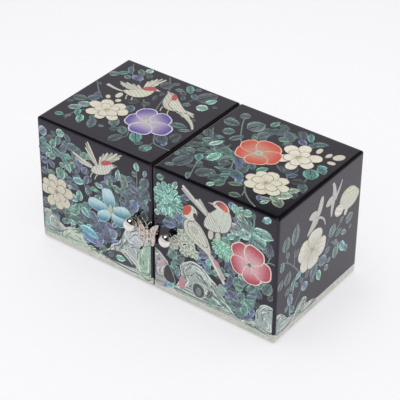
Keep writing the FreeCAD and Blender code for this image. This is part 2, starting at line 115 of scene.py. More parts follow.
def make_black_lacquer():
    """Black lacquer, rubbed and polished to a deep gloss: a near-black body with a mirror skin over
    it, a faint violet cast, and a soft orange peel about 5 mm across. The rubbing makes each face
    fall away over its last 3.5 mm, so the rims of the boxes mirror the dark ceiling."""
    material, tree = blank_material("polished_black_lacquer")
    place = add(tree, "ShaderNodeTexCoord").outputs["Object"]
    depth = add(tree, "ShaderNodeTexNoise", {}, {"Vector": place, "Scale": 60.0, "Detail": 3.0})
    body = add(tree, "ShaderNodeValToRGB", {}, {"Fac": depth.outputs["Fac"]})
    stops(body, [(0.3, "#09080b"), (0.7, "#110f14")])
    rubbed = add(tree, "ShaderNodeTexNoise", {}, {"Vector": place, "Scale": 35.0, "Detail": 5.0})
    gloss = add(tree, "ShaderNodeMapRange", {}, {
        "Value": rubbed.outputs["Fac"], "From Min": 0.3, "From Max": 0.7, "To Min": 0.05, "To Max": 0.11})
    peel = add(tree, "ShaderNodeTexNoise", {}, {"Vector": place, "Scale": 200.0, "Detail": 1.0})
    bump = add(tree, "ShaderNodeBump", {}, {
        "Height": peel.outputs["Fac"], "Strength": 0.25, "Distance": 0.00001})
    parts = add(tree, "ShaderNodeSeparateXYZ", {}, {"Vector": place})
    rim_width, rim_fall = 3.5, 13.0
    fall = None
    # The middle and the half size of one box along each axis. The two boxes mirror each other in X
    for axis, centre, half in (("X", 50.1, 49.9), ("Y", 2.975, 49.75), ("Z", 50.1, 50.1)):
        source = parts.outputs[axis]
        if axis == "X":
            source = add(tree, "ShaderNodeMath", {"operation": "ABSOLUTE"}, {0: source}).outputs[0]
        off = add(tree, "ShaderNodeMath", {"operation": "SUBTRACT"}, {0: source, 1: centre * mm})
        far = add(tree, "ShaderNodeMath", {"operation": "ABSOLUTE"}, {0: off.outputs[0]})
        near = add(tree, "ShaderNodeMath", {"operation": "SUBTRACT"}, {
            0: far.outputs[0], 1: (half - rim_width) * mm})
        over = add(tree, "ShaderNodeMath", {"operation": "MAXIMUM"}, {0: near.outputs[0], 1: 0.0})
        square = add(tree, "ShaderNodeMath", {"operation": "MULTIPLY"}, {
            0: over.outputs[0], 1: over.outputs[0]})
        fall = square if fall is None else add(tree, "ShaderNodeMath", {"operation": "ADD"}, {
            0: fall.outputs[0], 1: square.outputs[0]})
    drop = add(tree, "ShaderNodeMath", {"operation": "MULTIPLY"}, {0: fall.outputs[0], 1: -rim_fall})
    crown = add(tree, "ShaderNodeBump", {}, {
        "Height": drop.outputs[0], "Strength": 1.0, "Distance": 1.0, "Normal": bump.outputs["Normal"]})
    shader = add(tree, "ShaderNodeBsdfPrincipled", {}, {
        "Base Color": body.outputs["Color"], "Roughness": gloss.outputs["Result"], "IOR": 1.66,
        "Specular Tint": linear("#cfc6df"), "Normal": crown.outputs["Normal"]})
    finish_material(tree, shader)
    return material


def make_shell_band():
    """Thin slices of pale shell laid side by side round the foot: silvery beige with mint and rose
    glints, and dark hair lines where the slices were cut, about 1.4 mm apart."""
    material, tree = blank_material("sliced_mother_of_pearl")
    place = add(tree, "ShaderNodeTexCoord").outputs["Object"]
    parts = add(tree, "ShaderNodeSeparateXYZ", {}, {"Vector": place})
    along = add(tree, "ShaderNodeMath", {"operation": "ADD"}, {
        0: parts.outputs["X"], 1: parts.outputs["Y"]})
    lean = add(tree, "ShaderNodeMath", {"operation": "MULTIPLY_ADD"}, {
        0: parts.outputs["Z"], 1: 0.6, 2: along.outputs[0]})
    wander = add(tree, "ShaderNodeTexNoise", {}, {
        "Vector": place, "Scale": 160.0, "Detail": 2.0, "Distortion": 0.6})
    swirl = add(tree, "ShaderNodeMath", {"operation": "MULTIPLY_ADD"}, {
        0: wander.outputs["Fac"], 1: 0.006, 2: lean.outputs[0]})
    pitch = add(tree, "ShaderNodeMath", {"operation": "MULTIPLY"}, {0: swirl.outputs[0], 1: 720.0})
    wave = add(tree, "ShaderNodeMath", {"operation": "PINGPONG"}, {0: pitch.outputs[0], 1: 0.5})
    line = add(tree, "ShaderNodeMapRange", {"interpolation_type": "SMOOTHSTEP"}, {
        "Value": wave.outputs[0], "From Min": 0.02, "From Max": 0.10, "To Min": 0.35, "To Max": 0.0})
    glint = add(tree, "ShaderNodeTexNoise", {}, {
        "Vector": place, "Scale": 90.0, "Detail": 3.0, "Distortion": 1.2})
    shell = add(tree, "ShaderNodeValToRGB", {}, {"Fac": glint.outputs["Fac"]})
    stops(shell, [(0.28, "#9db2a2"), (0.38, "#b9c3b2"), (0.48, "#cdcec0"), (0.56, "#cac1bc"),
                  (0.62, "#dadbd4"), (0.70, "#c2cbbf"), (0.78, "#a3b7a8")])
    colour = add(tree, "ShaderNodeMix", {"data_type": "RGBA"}, {
        0: line.outputs["Result"], 6: shell.outputs["Color"], 7: linear("#7d8882")})
    shader = add(tree, "ShaderNodeBsdfPrincipled", {}, {
        "Base Color": colour.outputs[2], "Roughness": 0.22, "IOR": 1.53, "Coat Weight": 0.5,
        "Coat Roughness": 0.05})
    finish_material(tree, shader)
    return material


def make_shell_inlay():
    """Abalone and river shell cut into figures and polished under clear lacquer. Each figure carries
    its own tint, how much the shell's colours play in it, and its engraved lines."""
    material, tree = blank_material("abalone_shell_inlay")
    place = add(tree, "ShaderNodeTexCoord").outputs["Object"]
    tint = add(tree, "ShaderNodeAttribute", {"attribute_name": "tint"})
    grain = add(tree, "ShaderNodeAttribute", {"attribute_name": "grain"})
    marks = add(tree, "ShaderNodeSeparateXYZ", {}, {"Vector": grain.outputs["Vector"]})
    flow = add(tree, "ShaderNodeTexNoise", {}, {
        "Vector": place, "Scale": 240.0, "Detail": 4.0, "Roughness": 0.6, "Distortion": 1.6})
    abalone = add(tree, "ShaderNodeValToRGB", {}, {"Fac": flow.outputs["Fac"]})
    stops(abalone, [(0.28, "#16303f"), (0.36, "#3c5a86"), (0.42, "#2f8a92"), (0.47, "#7fe0c8"),
                    (0.51, "#2f7f80"), (0.56, "#a5ecd2"), (0.61, "#4a6fa6"), (0.66, "#8f86b4"),
                    (0.71, "#d3b6c4"), (0.76, "#3d6f7a")])
    played = add(tree, "ShaderNodeMix", {"data_type": "RGBA", "blend_type": "OVERLAY"}, {
        0: tint.outputs["Alpha"], 6: tint.outputs["Color"], 7: abalone.outputs["Color"]})
    cloud = add(tree, "ShaderNodeTexNoise", {}, {
        "Vector": place, "Scale": 420.0, "Detail": 3.0, "Distortion": 0.8})
    shade = add(tree, "ShaderNodeMapRange", {}, {
        "Value": cloud.outputs["Fac"], "From Min": 0.3, "From Max": 0.7, "To Min": 0.6, "To Max": 1.3})
    calm = add(tree, "ShaderNodeMath", {"operation": "MULTIPLY_ADD", "use_clamp": True}, {
        0: tint.outputs["Alpha"], 1: 2.0, 2: 0.15})
    worn = add(tree, "ShaderNodeMix", {"data_type": "FLOAT"}, {
        0: calm.outputs[0], 2: 1.0, 3: shade.outputs["Result"]})
    rimmed = add(tree, "ShaderNodeMapRange", {"interpolation_type": "SMOOTHSTEP"}, {
        "Value": marks.outputs["Z"], "From Min": 0.5, "From Max": 1.0, "To Min": 0.98, "To Max": 2.1})
    lit = add(tree, "ShaderNodeMath", {"operation": "MULTIPLY"}, {
        0: worn.outputs[0], 1: rimmed.outputs["Result"]})
    joint = add(tree, "ShaderNodeMapRange", {}, {
        "Value": marks.outputs["Z"], "From Min": 1.25, "From Max": 1.75, "To Min": 1.0, "To Max": 0.06})
    edged = add(tree, "ShaderNodeMath", {"operation": "MULTIPLY"}, {
        0: lit.outputs[0], 1: joint.outputs["Result"]})
    calmed = add(tree, "ShaderNodeMath", {"operation": "MULTIPLY_ADD"}, {
        0: tint.outputs["Alpha"], 1: -0.36, 2: 1.0})
    paled = add(tree, "ShaderNodeMath", {"operation": "MULTIPLY_ADD"}, {
        0: marks.outputs["Z"], 1: -0.2, 2: calmed.outputs[0]})
    soft = add(tree, "ShaderNodeHueSaturation", {}, {
        "Saturation": paled.outputs[0], "Color": played.outputs[2]})
    shaded = add(tree, "ShaderNodeVectorMath", {"operation": "SCALE"}, {
        0: soft.outputs["Color"], "Scale": edged.outputs[0]})
    wobble = add(tree, "ShaderNodeTexNoise", {}, {"Vector": place, "Scale": 500.0, "Detail": 2.0})
    bent = add(tree, "ShaderNodeMath", {"operation": "MULTIPLY_ADD"}, {
        0: wobble.outputs["Fac"], 1: 0.35, 2: marks.outputs["X"]})
    wave = add(tree, "ShaderNodeMath", {"operation": "PINGPONG"}, {0: bent.outputs[0], 1: 0.5})
    cut = add(tree, "ShaderNodeMapRange", {"interpolation_type": "SMOOTHSTEP"}, {
        "Value": wave.outputs[0], "From Min": 0.05, "From Max": 0.19, "To Min": 1.0, "To Max": 0.0})
    engraved = add(tree, "ShaderNodeMath", {"operation": "MULTIPLY"}, {
        0: cut.outputs["Result"], 1: marks.outputs["Y"]})
    colour = add(tree, "ShaderNodeMix", {"data_type": "RGBA"}, {
        0: engraved.outputs[0], 6: shaded.outputs[0], 7: linear("#1f211f")})
    polish = add(tree, "ShaderNodeMapRange", {}, {
        "Value": cloud.outputs["Fac"], "From Min": 0.3, "From Max": 0.7, "To Min": 0.18, "To Max": 0.34})
    shader = add(tree, "ShaderNodeBsdfPrincipled", {}, {
        "Base Color": colour.outputs[2], "Roughness": polish.outputs["Result"], "IOR": 1.53,
        "Coat Weight": 0.35, "Coat Roughness": 0.06})
    finish_material(tree, shader)
    return material


def make_metal(name, light, dark, rough, grit, size, relief=0.005, stretch=(1.0, 1.0, 1.0)):
    """Metal with a slightly uneven tone and polish: light and dark are its two tones, rough and grit
    its roughness and how far that wanders, size the width of the unevenness and relief its height,
    both in millimetres."""
    material, tree = blank_material(name)
    inside = add(tree, "ShaderNodeTexCoord").outputs["Object"]
    place = add(tree, "ShaderNodeMapping", {}, {"Vector": inside, "Scale": stretch}).outputs["Vector"]
    uneven = add(tree, "ShaderNodeTexNoise", {}, {
        "Vector": place, "Scale": 1 / (size * mm), "Detail": 4.0})
    tone = add(tree, "ShaderNodeValToRGB", {}, {"Fac": uneven.outputs["Fac"]})
    stops(tone, [(0.32, dark), (0.68, light)])
    polish = add(tree, "ShaderNodeMapRange", {}, {
        "Value": uneven.outputs["Fac"], "From Min": 0.3, "From Max": 0.7,
        "To Min": rough + grit, "To Max": max(rough - grit, 0.02)})
    bump = add(tree, "ShaderNodeBump", {}, {
        "Height": uneven.outputs["Fac"], "Strength": 0.5, "Distance": relief * mm})
    shader = add(tree, "ShaderNodeBsdfPrincipled", {}, {
        "Base Color": tone.outputs["Color"], "Metallic": 1.0, "Roughness": polish.outputs["Result"],
        "Normal": bump.outputs["Normal"]})
    finish_material(tree, shader)
    return material


def make_stained_wood():
    """Close-grained wood stained black and waxed: satin, with grain lines about 1 mm apart along
    the drawer's length that catch a little light."""
    material, tree = blank_material("black_stained_wood")
    place = add(tree, "ShaderNodeTexCoord").outputs["Object"]
    stretched = add(tree, "ShaderNodeMapping", {}, {"Vector": place, "Scale": (900.0, 60.0, 900.0)})
    fibre = add(tree, "ShaderNodeTexNoise", {}, {
        "Vector": stretched.outputs["Vector"], "Scale": 1.0, "Detail": 5.0, "Distortion": 0.4})
    tone = add(tree, "ShaderNodeValToRGB", {}, {"Fac": fibre.outputs["Fac"]})
    stops(tone, [(0.3, "#141213"), (0.55, "#221e1d"), (0.75, "#2e2826")])
    bump = add(tree, "ShaderNodeBump", {}, {
        "Height": fibre.outputs["Fac"], "Strength": 0.5, "Distance": 0.00005})
    shader = add(tree, "ShaderNodeBsdfPrincipled", {}, {
        "Base Color": tone.outputs["Color"], "Roughness": 0.42, "IOR": 1.5,
        "Normal": bump.outputs["Normal"]})
    finish_material(tree, shader)
    return material


def make_velvet(name, deep, lit, fluff):
    """Short-pile cloth: dark where one looks into the pile, with a soft sheen towards its edges, and
    brushed patches about 8 mm across. The single hairs are drawn 0.5 mm wide so that they show."""
    material, tree = blank_material(name)
    place = add(tree, "ShaderNodeTexCoord").outputs["Object"]
    brushed = add(tree, "ShaderNodeTexNoise", {}, {"Vector": place, "Scale": 120.0, "Detail": 3.0})
    hairs = add(tree, "ShaderNodeTexNoise", {}, {"Vector": place, "Scale": 2000.0, "Detail": 2.0})
    both = add(tree, "ShaderNodeMath", {"operation": "MULTIPLY_ADD"}, {
        0: hairs.outputs["Fac"], 1: 0.45, 2: brushed.outputs["Fac"]})
    tone = add(tree, "ShaderNodeValToRGB", {}, {"Fac": both.outputs[0]})
    stops(tone, [(0.5, deep), (0.95, lit)])
    bump = add(tree, "ShaderNodeBump", {}, {
        "Height": hairs.outputs["Fac"], "Strength": 0.8, "Distance": 0.0002})
    shader = add(tree, "ShaderNodeBsdfPrincipled", {}, {
        "Base Color": tone.outputs["Color"], "Roughness": 0.9, "Sheen Weight": fluff,
        "Sheen Roughness": 0.4, "Normal": bump.outputs["Normal"]})
    finish_material(tree, shader)
    return material


lacquer = make_black_lacquer()
shell_band = make_shell_band()
shell_inlay = make_shell_inlay()
# Nickel plate polished to a mirror, a little warm
nickel = make_metal("polished_nickel_plate", "#f3efec", "#e6e1dc", 0.06, 0.02, 6.0, 0.002)
# Cast white metal plated pale rose-silver, soft from handling
rose_silver = make_metal("rose_silver_plate", "#f0e7de", "#a3958a", 0.2, 0.05, 2.6, 0.05,
                         (2.4, 1.0, 0.5))
# Pressed brass under nickel plate, satin
hinge_plate = make_metal("satin_nickel_plate", "#d8d2c8", "#bdb6aa", 0.3, 0.06, 2.5)
# Zinc-plated steel, dull
zinc = make_metal("zinc_plated_steel", "#b8bcc0", "#95999d", 0.38, 0.08, 1.5)
stained_wood = make_stained_wood()
velvet = make_velvet("wine_red_velvet", "#4a0a14", "#8c1c2c", 0.7)
felt = make_velvet("black_wool_felt", "#0f0f10", "#232325", 0.25)


# Helpers for the meshes

def stand(name, data):
    """An object that shows the data in the scene."""
    thing = bpy.data.objects.new(name, data)
    bpy.context.scene.collection.objects.link(thing)
    return thing


def joined(first, second, count):
    """Faces between two rings of count corners, each ring named by its first corner."""
    return [(first + k, first + (k + 1) % count, second + (k + 1) % count, second + k)
            for k in range(count)]


def flipped(polygons):
    """The same faces, looking the other way."""
    return [p[:1] + p[:0:-1] for p in polygons]


def flat(rows):
    return [c for row in rows for c in row]


# The cloth inside and below

def rounded_corners(low, high, corner, steps):
    """Points round a rectangle with rounded corners, anticlockwise seen from above."""
    around = []
    left, right, fore, aft = low[0] + corner, high[0] - corner, low[1] + corner, high[1] - corner
    for cx, cy, start in ((right, aft, 0), (left, aft, 90), (left, fore, 180), (right, fore, 270)):
        for k in range(steps + 1):
            a = math.radians(start + 90 * k / steps)
            around.append((cx + corner * math.cos(a), cy + corner * math.sin(a)))
    return around


def lay_pad(name, low, high, corner, profile, material, body, node):
    """A closed pad between two corners. The profile gives how far each ring lies in from the outline
    and how high it is, from the middle of the underside round to the middle of the top."""
    corners, polygons = [], []
    corner_steps, least_corner = 8, 0.4 * mm
    count = 4 * (corner_steps + 1)
    for inset, height in profile:
        shrunk = rounded_corners((low.x + inset, low.y + inset), (high.x - inset, high.y - inset),
                                 max(corner - inset, least_corner), corner_steps)
        corners += [(x, y, low.z + height) for x, y in shrunk]
    rings = len(profile)
    for r in range(rings - 1):
        polygons += joined(r * count, (r + 1) * count, count)
    for first, down in ((0, True), ((rings - 1) * count, False)):
        middle = len(corners)
        ring = corners[first:first + count]
        corners.append(tuple(sum(c[i] for c in ring) / count for i in range(3)))
        fan = [(middle, first + k, first + (k + 1) % count) for k in range(count)]
        polygons += flipped(fan) if down else fan
    mesh = bpy.data.meshes.new(name)
    mesh.from_pydata(corners, [], polygons)
    mesh.shade_smooth()
    mesh.materials.append(material)
    piece = stand(name, mesh)
    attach(piece, body)
    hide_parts(node)


for side in ("left", "right"):
    low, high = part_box(f"{side}_felt_pad")
    thick = high.z - low.z
    lay_pad(f"{side}_felt_foot", low, high, 4.0 * mm,
            [(0.5 * mm, 0.0), (0.12 * mm, 0.04 * mm), (0.0, 0.2 * mm), (0.0, thick - 0.1 * mm),
             (0.1 * mm, thick), (0.6 * mm, thick)],
            felt, f"{side}_half", f"{side}_felt_pad")
    for level in ("upper", "lower"):
        node = f"{side}_{level}_drawer_lining"
        low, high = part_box(node)
        top = high.z - low.z
        lay_pad(f"{side}_{level}_velvet_pad", low, high, 2.0 * mm,
                [(1.2 * mm, 0.0), (0.35 * mm, 0.05 * mm), (0.0, 0.4 * mm), (0.05 * mm, 0.8 * mm),
                 (0.45 * mm, 1.12 * mm), (1.3 * mm, 1.3 * mm), (4.0 * mm, 1.42 * mm),
                 (12.0 * mm, top - 0.03 * mm), (20.0 * mm, top)],
                velvet, f"{side}_{level}_drawer", node)


# The shell inlay: its faces and colours

front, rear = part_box("left_front_board")[0].y / mm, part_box("left_back_board")[1].y / mm
outer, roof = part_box("right_outer_board")[1].x / mm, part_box("right_top_board")[1].z / mm
X, Y, Z = Vector((1, 0, 0)), Vector((0, 1, 0)), Vector((0, 0, 1))
span, top_margin, wall_margin, drawer_margin = 100, 2.0, 1.9, 1.5
inward = Y * ((rear - front) / span)
# Each face: its lower corner, the directions in which s and t run over it, the way it looks, the
# body that carries it, its extent and the plain margin along its edges
Face = collections.namedtuple("Face", "corner across upward outward body width tall margin")
faces = {
    name: Face(Vector(corner), across, upward, outward, body, span, tall, margin)
    for name, corner, across, upward, outward, body, tall, margin in (
        ("left_front", (-outer, front, 0), X, Z, -Y, "left_half", roof, wall_margin),
        ("right_front", (0, front, 0), X, Z, -Y, "right_half", roof, wall_margin),
        ("left_top", (-outer, front, roof), X, inward, Z, "left_half", span, top_margin),
        ("right_top", (0, front, roof), X, inward, Z, "right_half", span, top_margin),
        ("right_side", (outer, front, 0), inward, Z, X, "right_half", roof, wall_margin),
        ("left_side", (-outer, front, 0), inward, Z, -X, "left_half", roof, wall_margin),
        ("left_back", (-outer, rear, 0), X, Z, Y, "left_half", roof, wall_margin),
        ("right_back", (outer, rear, 0), -X, Z, Y, "right_half", roof, wall_margin))}
for side, sign in (("left", 1), ("right", -1)):
    for level in ("upper", "lower"):
        low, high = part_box(f"{side}_{level}_drawer_front")
        seen = (high.x if side == "left" else low.x) / mm
        faces[f"{side}_{level}_drawer"] = Face(
            Vector((seen, low.y / mm, low.z / mm)), Y, Z, X * sign, f"{side}_{level}_drawer",
            (high.y - low.y) / mm, (high.z - low.z) / mm, drawer_margin)

# Shell colours as they look under the clear lacquer
shell = {
    "white": "#dbddd6", "bone": "#b9b4a4", "pale": "#bcccc3", "sage": "#8ba195", "moss": "#8fa07a",
    "mint": "#8ad2b8", "jade": "#5cb396", "teal": "#3f9a94", "deep": "#1f5c66", "cyan": "#54cbd6",
    "blue": "#4a73bf", "navy": "#27427f", "violet": "#6b62a6", "lilac": "#a49dc0", "slate": "#586b88",
    "smoke": "#7c8785", "ash": "#565f62", "rose": "#c78793", "umber": "#50433c",
}


def tone(name):
    return linear(shell.get(name, name))[:3]


def mixed(a, b, k):
    k = min(max(k, 0.0), 1.0)
    return tuple(p * (1 - k) + q * k for p, q in zip(a, b))


# The shell inlay: cut figures

cut_figures = {}
# How deep a figure reaches into the lacquer, and how much lower its edge is than its middle
plate_foot, plate_edge = -0.05, 0.035


def place_on(face, s, t, height):
    ground = faces[face]
    s = min(max(s, ground.margin), ground.width - ground.margin)
    t = min(max(t, ground.margin), ground.tall - ground.margin)
    return (ground.corner + ground.across * s + ground.upward * t + ground.outward * height) * mm


def keep(face, corners, polygons):
    """Adds one closed figure to the body of its face. A corner is its place and its two attributes."""
    ground = faces[face]
    store = cut_figures.setdefault(ground.body, {"corner": [], "tint": [], "grain": [], "polygon": []})
    first = len(store["corner"])
    turned = ground.across.cross(ground.upward).dot(ground.outward) < 0
    for s, t, height, tint, grain in corners:
        store["corner"].append(place_on(face, s, t, height))
        store["tint"].append(tint)
        store["grain"].append(grain)
    for polygon in polygons:
        indices = [first + i for i in polygon]
        store["polygon"].append(indices[::-1] if turned else indices)


def bend(four, steps):
    """Points on the smooth curve from the second of four points up to the third."""
    return [tuple(0.5 * (2 * b + (c - a) * u + (2 * a - 5 * b + 4 * c - d) * u ** 2
                         + (3 * b - a - 3 * c + d) * u ** 3) for a, b, c, d in zip(*four))
            for u in (step / steps for step in range(steps))]


def smooth_loop(points, steps=4):
    """A closed curve through the points, anticlockwise, as a list of points along it."""
    count = len(points)
    curve = flat(bend([points[(i + k - 1) % count] for k in range(4)], steps) for i in range(count))
    area = sum(curve[i - 1][0] * curve[i][1] - curve[i][0] * curve[i - 1][1] for i in range(len(curve)))
    return curve if area > 0 else curve[::-1]


def smooth_line(points, steps=5):
    """An open curve through the points."""
    ends = [points[0], *points, points[-1]]
    return flat(bend(ends[i:i + 4], steps) for i in range(len(points) - 1)) + [tuple(points[-1])]


def set_off(s, t, along, across, a):
    """The place that lies along and across from s, t, where a is the direction of along."""
    return (s + along * math.cos(a) - across * math.sin(a), t + along * math.sin(a) + across * math.cos(a))


def notched(w, deep, wide):
    """How far a petal's edge is drawn in near its tip, where w is 0."""
    return 1 - deep * math.exp(-(min(w, 2 * math.pi - w) / wide) ** 2)


def cut_plate(face, outline, colour, lift, play, centre=None, lines=None, pitch=1.5, depth=0.0, axis=0.0,
              core=None, rim=None, rim_width=0.08, spread=(0.25, 0.75)):
    """A thin plate of shell with a given outline. colour fills it, core is the colour at the foot of
    its axis and rim the one along its edge. lines names how its engraved lines run, pitch how far
    apart they are and depth how dark."""
    count = len(outline)
    cs, ct = centre or (sum(p[0] for p in outline) / count, sum(p[1] for p in outline) / count)
    ca, sa = math.cos(math.radians(axis)), math.sin(math.radians(axis))
    reach = [((s - cs) * ca + (t - ct) * sa) for s, t in outline]
    nearest, furthest = min(reach), max(reach)
    fill, heart, edge = tone(colour), tone(core or colour), tone(rim or colour)
    shares = (0.4, 0.75, 1 - rim_width * 1.25, 1 - rim_width * 0.75, 1.0) if rim else (0.5, 0.88, 1.0)

    def corner(share, s, t, height):
        along = (s - cs) * ca + (t - ct) * sa
        across = (t - ct) * ca - (s - cs) * sa
        place = (along - nearest) / (furthest - nearest + tiny)
        paint = mixed(heart, fill, (place - spread[0]) / (spread[1] - spread[0])) if core else fill
        if rim and share > 1 - rim_width:
            paint = edge
        mark = {"along": across / pitch, "across": along / pitch, "rings": share * 10 / pitch,
                None: 0.5}[lines]
        return (s, t, height, paint + (play,), (mark, depth, 0.0))

    corners = [corner(0.0, cs, ct, lift)]
    for share in shares:
        height = lift - (plate_edge if share == 1.0 else 0.0)
        corners += [corner(share, cs + (s - cs) * share, ct + (t - ct) * share, height)
                    for s, t in outline]
    corners += [corner(1.0, s, t, plate_foot) for s, t in outline]
    polygons = [(0, 1 + k, 1 + (k + 1) % count) for k in range(count)]
    for r in range(len(shares)):
        polygons += flipped(joined(1 + r * count, 1 + (r + 1) * count, count))
    last = 1 + len(shares) * count
    polygons.append([last + k for k in reversed(range(count))])
    keep(face, corners, polygons)


def cut_strip(face, points, colour, lift, play, pitch=1.2, depth=0.0):
    """A strip of shell along a curve. Each point is a place and the strip's width there."""
    path = smooth_line(points)
    count = len(path)
    paint = tone(colour) + (play,)
    edge = lift - plate_edge
    corners = []
    for i, (s, t, width) in enumerate(path):
        before, after = path[max(i - 1, 0)], path[min(i + 1, count - 1)]
        ds, dt = after[0] - before[0], after[1] - before[1]
        size = math.hypot(ds, dt) or 1.0
        ns, nt = -dt / size * width / 2, ds / size * width / 2
        for off, height in ((1, plate_foot), (1, edge), (0, lift), (-1, edge), (-1, plate_foot)):
            mark = off * width / 2 / pitch + 0.25
            corners.append((s + ns * off, t + nt * off, height, paint, (mark, depth, 0.0)))
    polygons = flat(joined(i * 5, (i + 1) * 5, 5) for i in range(count - 1))
    polygons.append((4, 3, 2, 1, 0))
    polygons.append(tuple((count - 1) * 5 + k for k in range(5)))
    keep(face, corners, [p[::-1] for p in polygons])


def ellipse(s, t, along, across, axis, count=14):
    """Points round an ellipse."""
    turns = [2 * math.pi * k / count for k in range(count)]
    return [set_off(s, t, along / 2 * math.cos(w), across / 2 * math.sin(w), math.radians(axis))
            for w in turns]


def cut_flower(face, s, t, petals, colour, heart, rim, core, lift, rim_width, play, heart_size, pitch=2.4,
               depth=0.12, dot=None, beads=10, lean=None):
    """A flower laid petal over petal round its middle. Each petal is its own middle and its width
    round the flower; it reaches from the flower's middle out past its own. lean turns the change
    of colour of every petal the same way, in place of outwards."""
    points, overlap, long, wide, layer = 26, 0.80, 1.46, 1.36, 0.018
    for k, (ps, pt, width) in enumerate(petals):
        ds, dt = ps - s, pt - t
        a = math.atan2(dt, ds)
        length = long * math.hypot(ds, dt)
        middle = (s + ds * overlap, t + dt * overlap)
        loop = []
        for n in range(points):
            w = 2 * math.pi * n / points
            wave = 1 + 0.02 * math.sin(5 * w + k)
            along = length / 2 * math.cos(w) * notched(w, 0.07, 0.28) * wave
            across = width / 2 * math.sin(w) * (0.86 + 0.14 * math.cos(w)) * wide * wave
            loop.append(set_off(*middle, along, across, a))
        cut_plate(face, loop, colour, lift + layer * k, play, middle, "along", pitch, depth,
                  math.degrees(a) if lean is None else lean, core, rim, rim_width, (0.28, 0.8))
    top = lift + layer * len(petals)
    cut_plate(face, ellipse(s, t, heart_size, heart_size, 20, 12), heart, top + 0.02, play,
              lines="rings", pitch=4.0, depth=0.35)
    if dot:
        cut_plate(face, ellipse(s, t, heart_size * 0.45, heart_size * 0.45, 0, 8), dot, top + 0.05, 0.3)
    for k in range(beads):
        far = heart_size * (0.78 + 0.1 * (k % 2))
        leaf(face, *set_off(s, t, far, 0, 2 * math.pi * (k + 0.3) / beads), 0.8, 0.8, 0, "bone", bead,
             top + 0.04, 0.0)


def cut_rose(face, s, t, reach, petal, colour, turn, rings=((7, 0.66), (5, 0.34)), squeeze=1.0):
    """A double flower of pale shell: rings of round petals with a dark line round each, and a
    clutch of short stamens in the middle. squeeze narrows it along t."""
    chance = random.Random(f"{face} {s} {t}")
    points, layer, stamens, height = 22, 0.012, 7, 0.16
    for ring, (count, share) in enumerate(rings):
        for k in range(count):
            w = math.radians(turn + 360 * (k + 0.5 * ring) / count) + chance.uniform(-0.12, 0.12)
            far = reach * share * chance.uniform(0.92, 1.08)
            long = petal * (1 - 0.22 * ring) * chance.uniform(0.95, 1.15)
            wide = long * chance.uniform(0.72, 0.9)
            loop = []
            for n in range(points):
                v = 2 * math.pi * n / points
                along = far + long / 2 * math.cos(v) * notched(v, 0.06, 0.3)
                across = wide / 2 * math.sin(v) * (0.88 + 0.12 * math.cos(v))
                ds, dt = set_off(0, 0, along, across, w)
                loop.append((s + ds, t + dt * squeeze))
            height += layer
            cut_plate(face, loop, colour, height, 0.03, None, "along", 2.6, 0.1, math.degrees(w), "#d3c8b0",
                      "#4a4436", 0.085, (0.1, 0.6))
    for k in range(stamens):
        w = 2 * math.pi * k / stamens
        leaf(face, *set_off(s, t, 1.5, 0, w), 2.4, 1.0, math.degrees(w), "#b9ab90", slender_leaf,
             height + 0.02, 0.0)


def cut_fan(face, root, tips, wide, colours, lift):
    """The long feathers of a wing or a tail, laid one over the other from a common root."""
    layer = 0.008
    for k, tip in enumerate(tips):
        quill = [a + 0.12 * (b - a) for a, b in zip(root, tip)]
        middle = [0.4 * a + 0.6 * b for a, b in zip(quill, tip)]
        end = [0.15 * a + 0.85 * b for a, b in zip(middle, tip)]
        cut_strip(face, [(*quill, wide * 0.6), (*middle, wide), (*end, wide * 0.75), (*tip, wide * 0.2)],
                  colours[k % len(colours)], lift + layer * k, 0.04, pitch=wide * 1.1, depth=0.75)


# The shell inlay: leaves

leaf_points = {}
# The forms a leaf can have, by their place in the collection, how high one stands over its point
# and how deep it reaches below, and how much darker a leaf is than its named colour
rose_leaf, round_leaf, slender_leaf, bead, chip = range(5)
leaf_height, leaf_foot, leaf_shade = 0.1, -0.15, 0.28
tiny = 1e-6


def leaf(face, s, t, length, width, angle, colour, form, lift, play=0.85):
    """Notes one leaf, bead or chip for the tree that sets them all."""
    ground = faces[face]
    room_s = min(ground.width - ground.margin - s, s - ground.margin)
    room_t = min(ground.tall - ground.margin - t, t - ground.margin)
    if room_s <= 0 or room_t <= 0:
        return
    a = math.radians(angle)
    run = (ground.across.normalized() * math.cos(a) + ground.upward * math.sin(a)).normalized()
    room = min(room_s / (abs(math.cos(a)) + tiny), room_t / (abs(math.sin(a)) + tiny))
    length = min(length, 2 * room + 0.5)
    turn = Matrix((run, ground.outward.cross(run), ground.outward)).transposed().to_euler()
    darker = leaf_shade if form < bead else 0.0
    leaf_points.setdefault(ground.body, []).append(
        (place_on(face, s, t, lift - leaf_height), tuple(turn), (length * mm, width * mm, 1.0),
         mixed(tone(colour), (0.0, 0.0, 0.0), darker) + (play,), (form,)))


def leaf_form(name, bulge, lean, teeth, gap):
    """A leaf of unit length and width in two halves, with a bare slit for its midrib. bulge is how
    square its outline is, lean how far its widest place lies towards the stem."""
    corners, grains, polygons = [], [], []
    steps = 5
    for sign in (1, -1):
        first = len(corners)
        for k in range(steps + 1):
            u = k / steps
            edge = max(0.5 * math.sin(math.pi * u ** lean) ** bulge * (1 + teeth * (k % 2)), 0.02)
            inner = min(gap * (1 - u * 0.6), edge * 0.5)
            for across, height, rim in ((inner, leaf_foot, 0.0), (inner, 0.1, 0.0), (edge * 0.86, 0.08, 1.0),
                                        (edge, 0.07, 2.0), (edge, leaf_foot, 2.0)):
                corners.append((u - 0.5, sign * across, height))
                grains.append(((u - abs(across) * 1.3) * 4.0, 0.4, rim))
        half = flat(joined(first + 5 * k, first + 5 * (k + 1), 5) for k in range(steps))
        half.append(tuple(first + m for m in reversed(range(5))))
        half.append(tuple(first + 5 * steps + m for m in range(5)))
        polygons += [p[::-1] for p in half] if sign > 0 else half
    return keep_form(name, corners, grains, polygons)


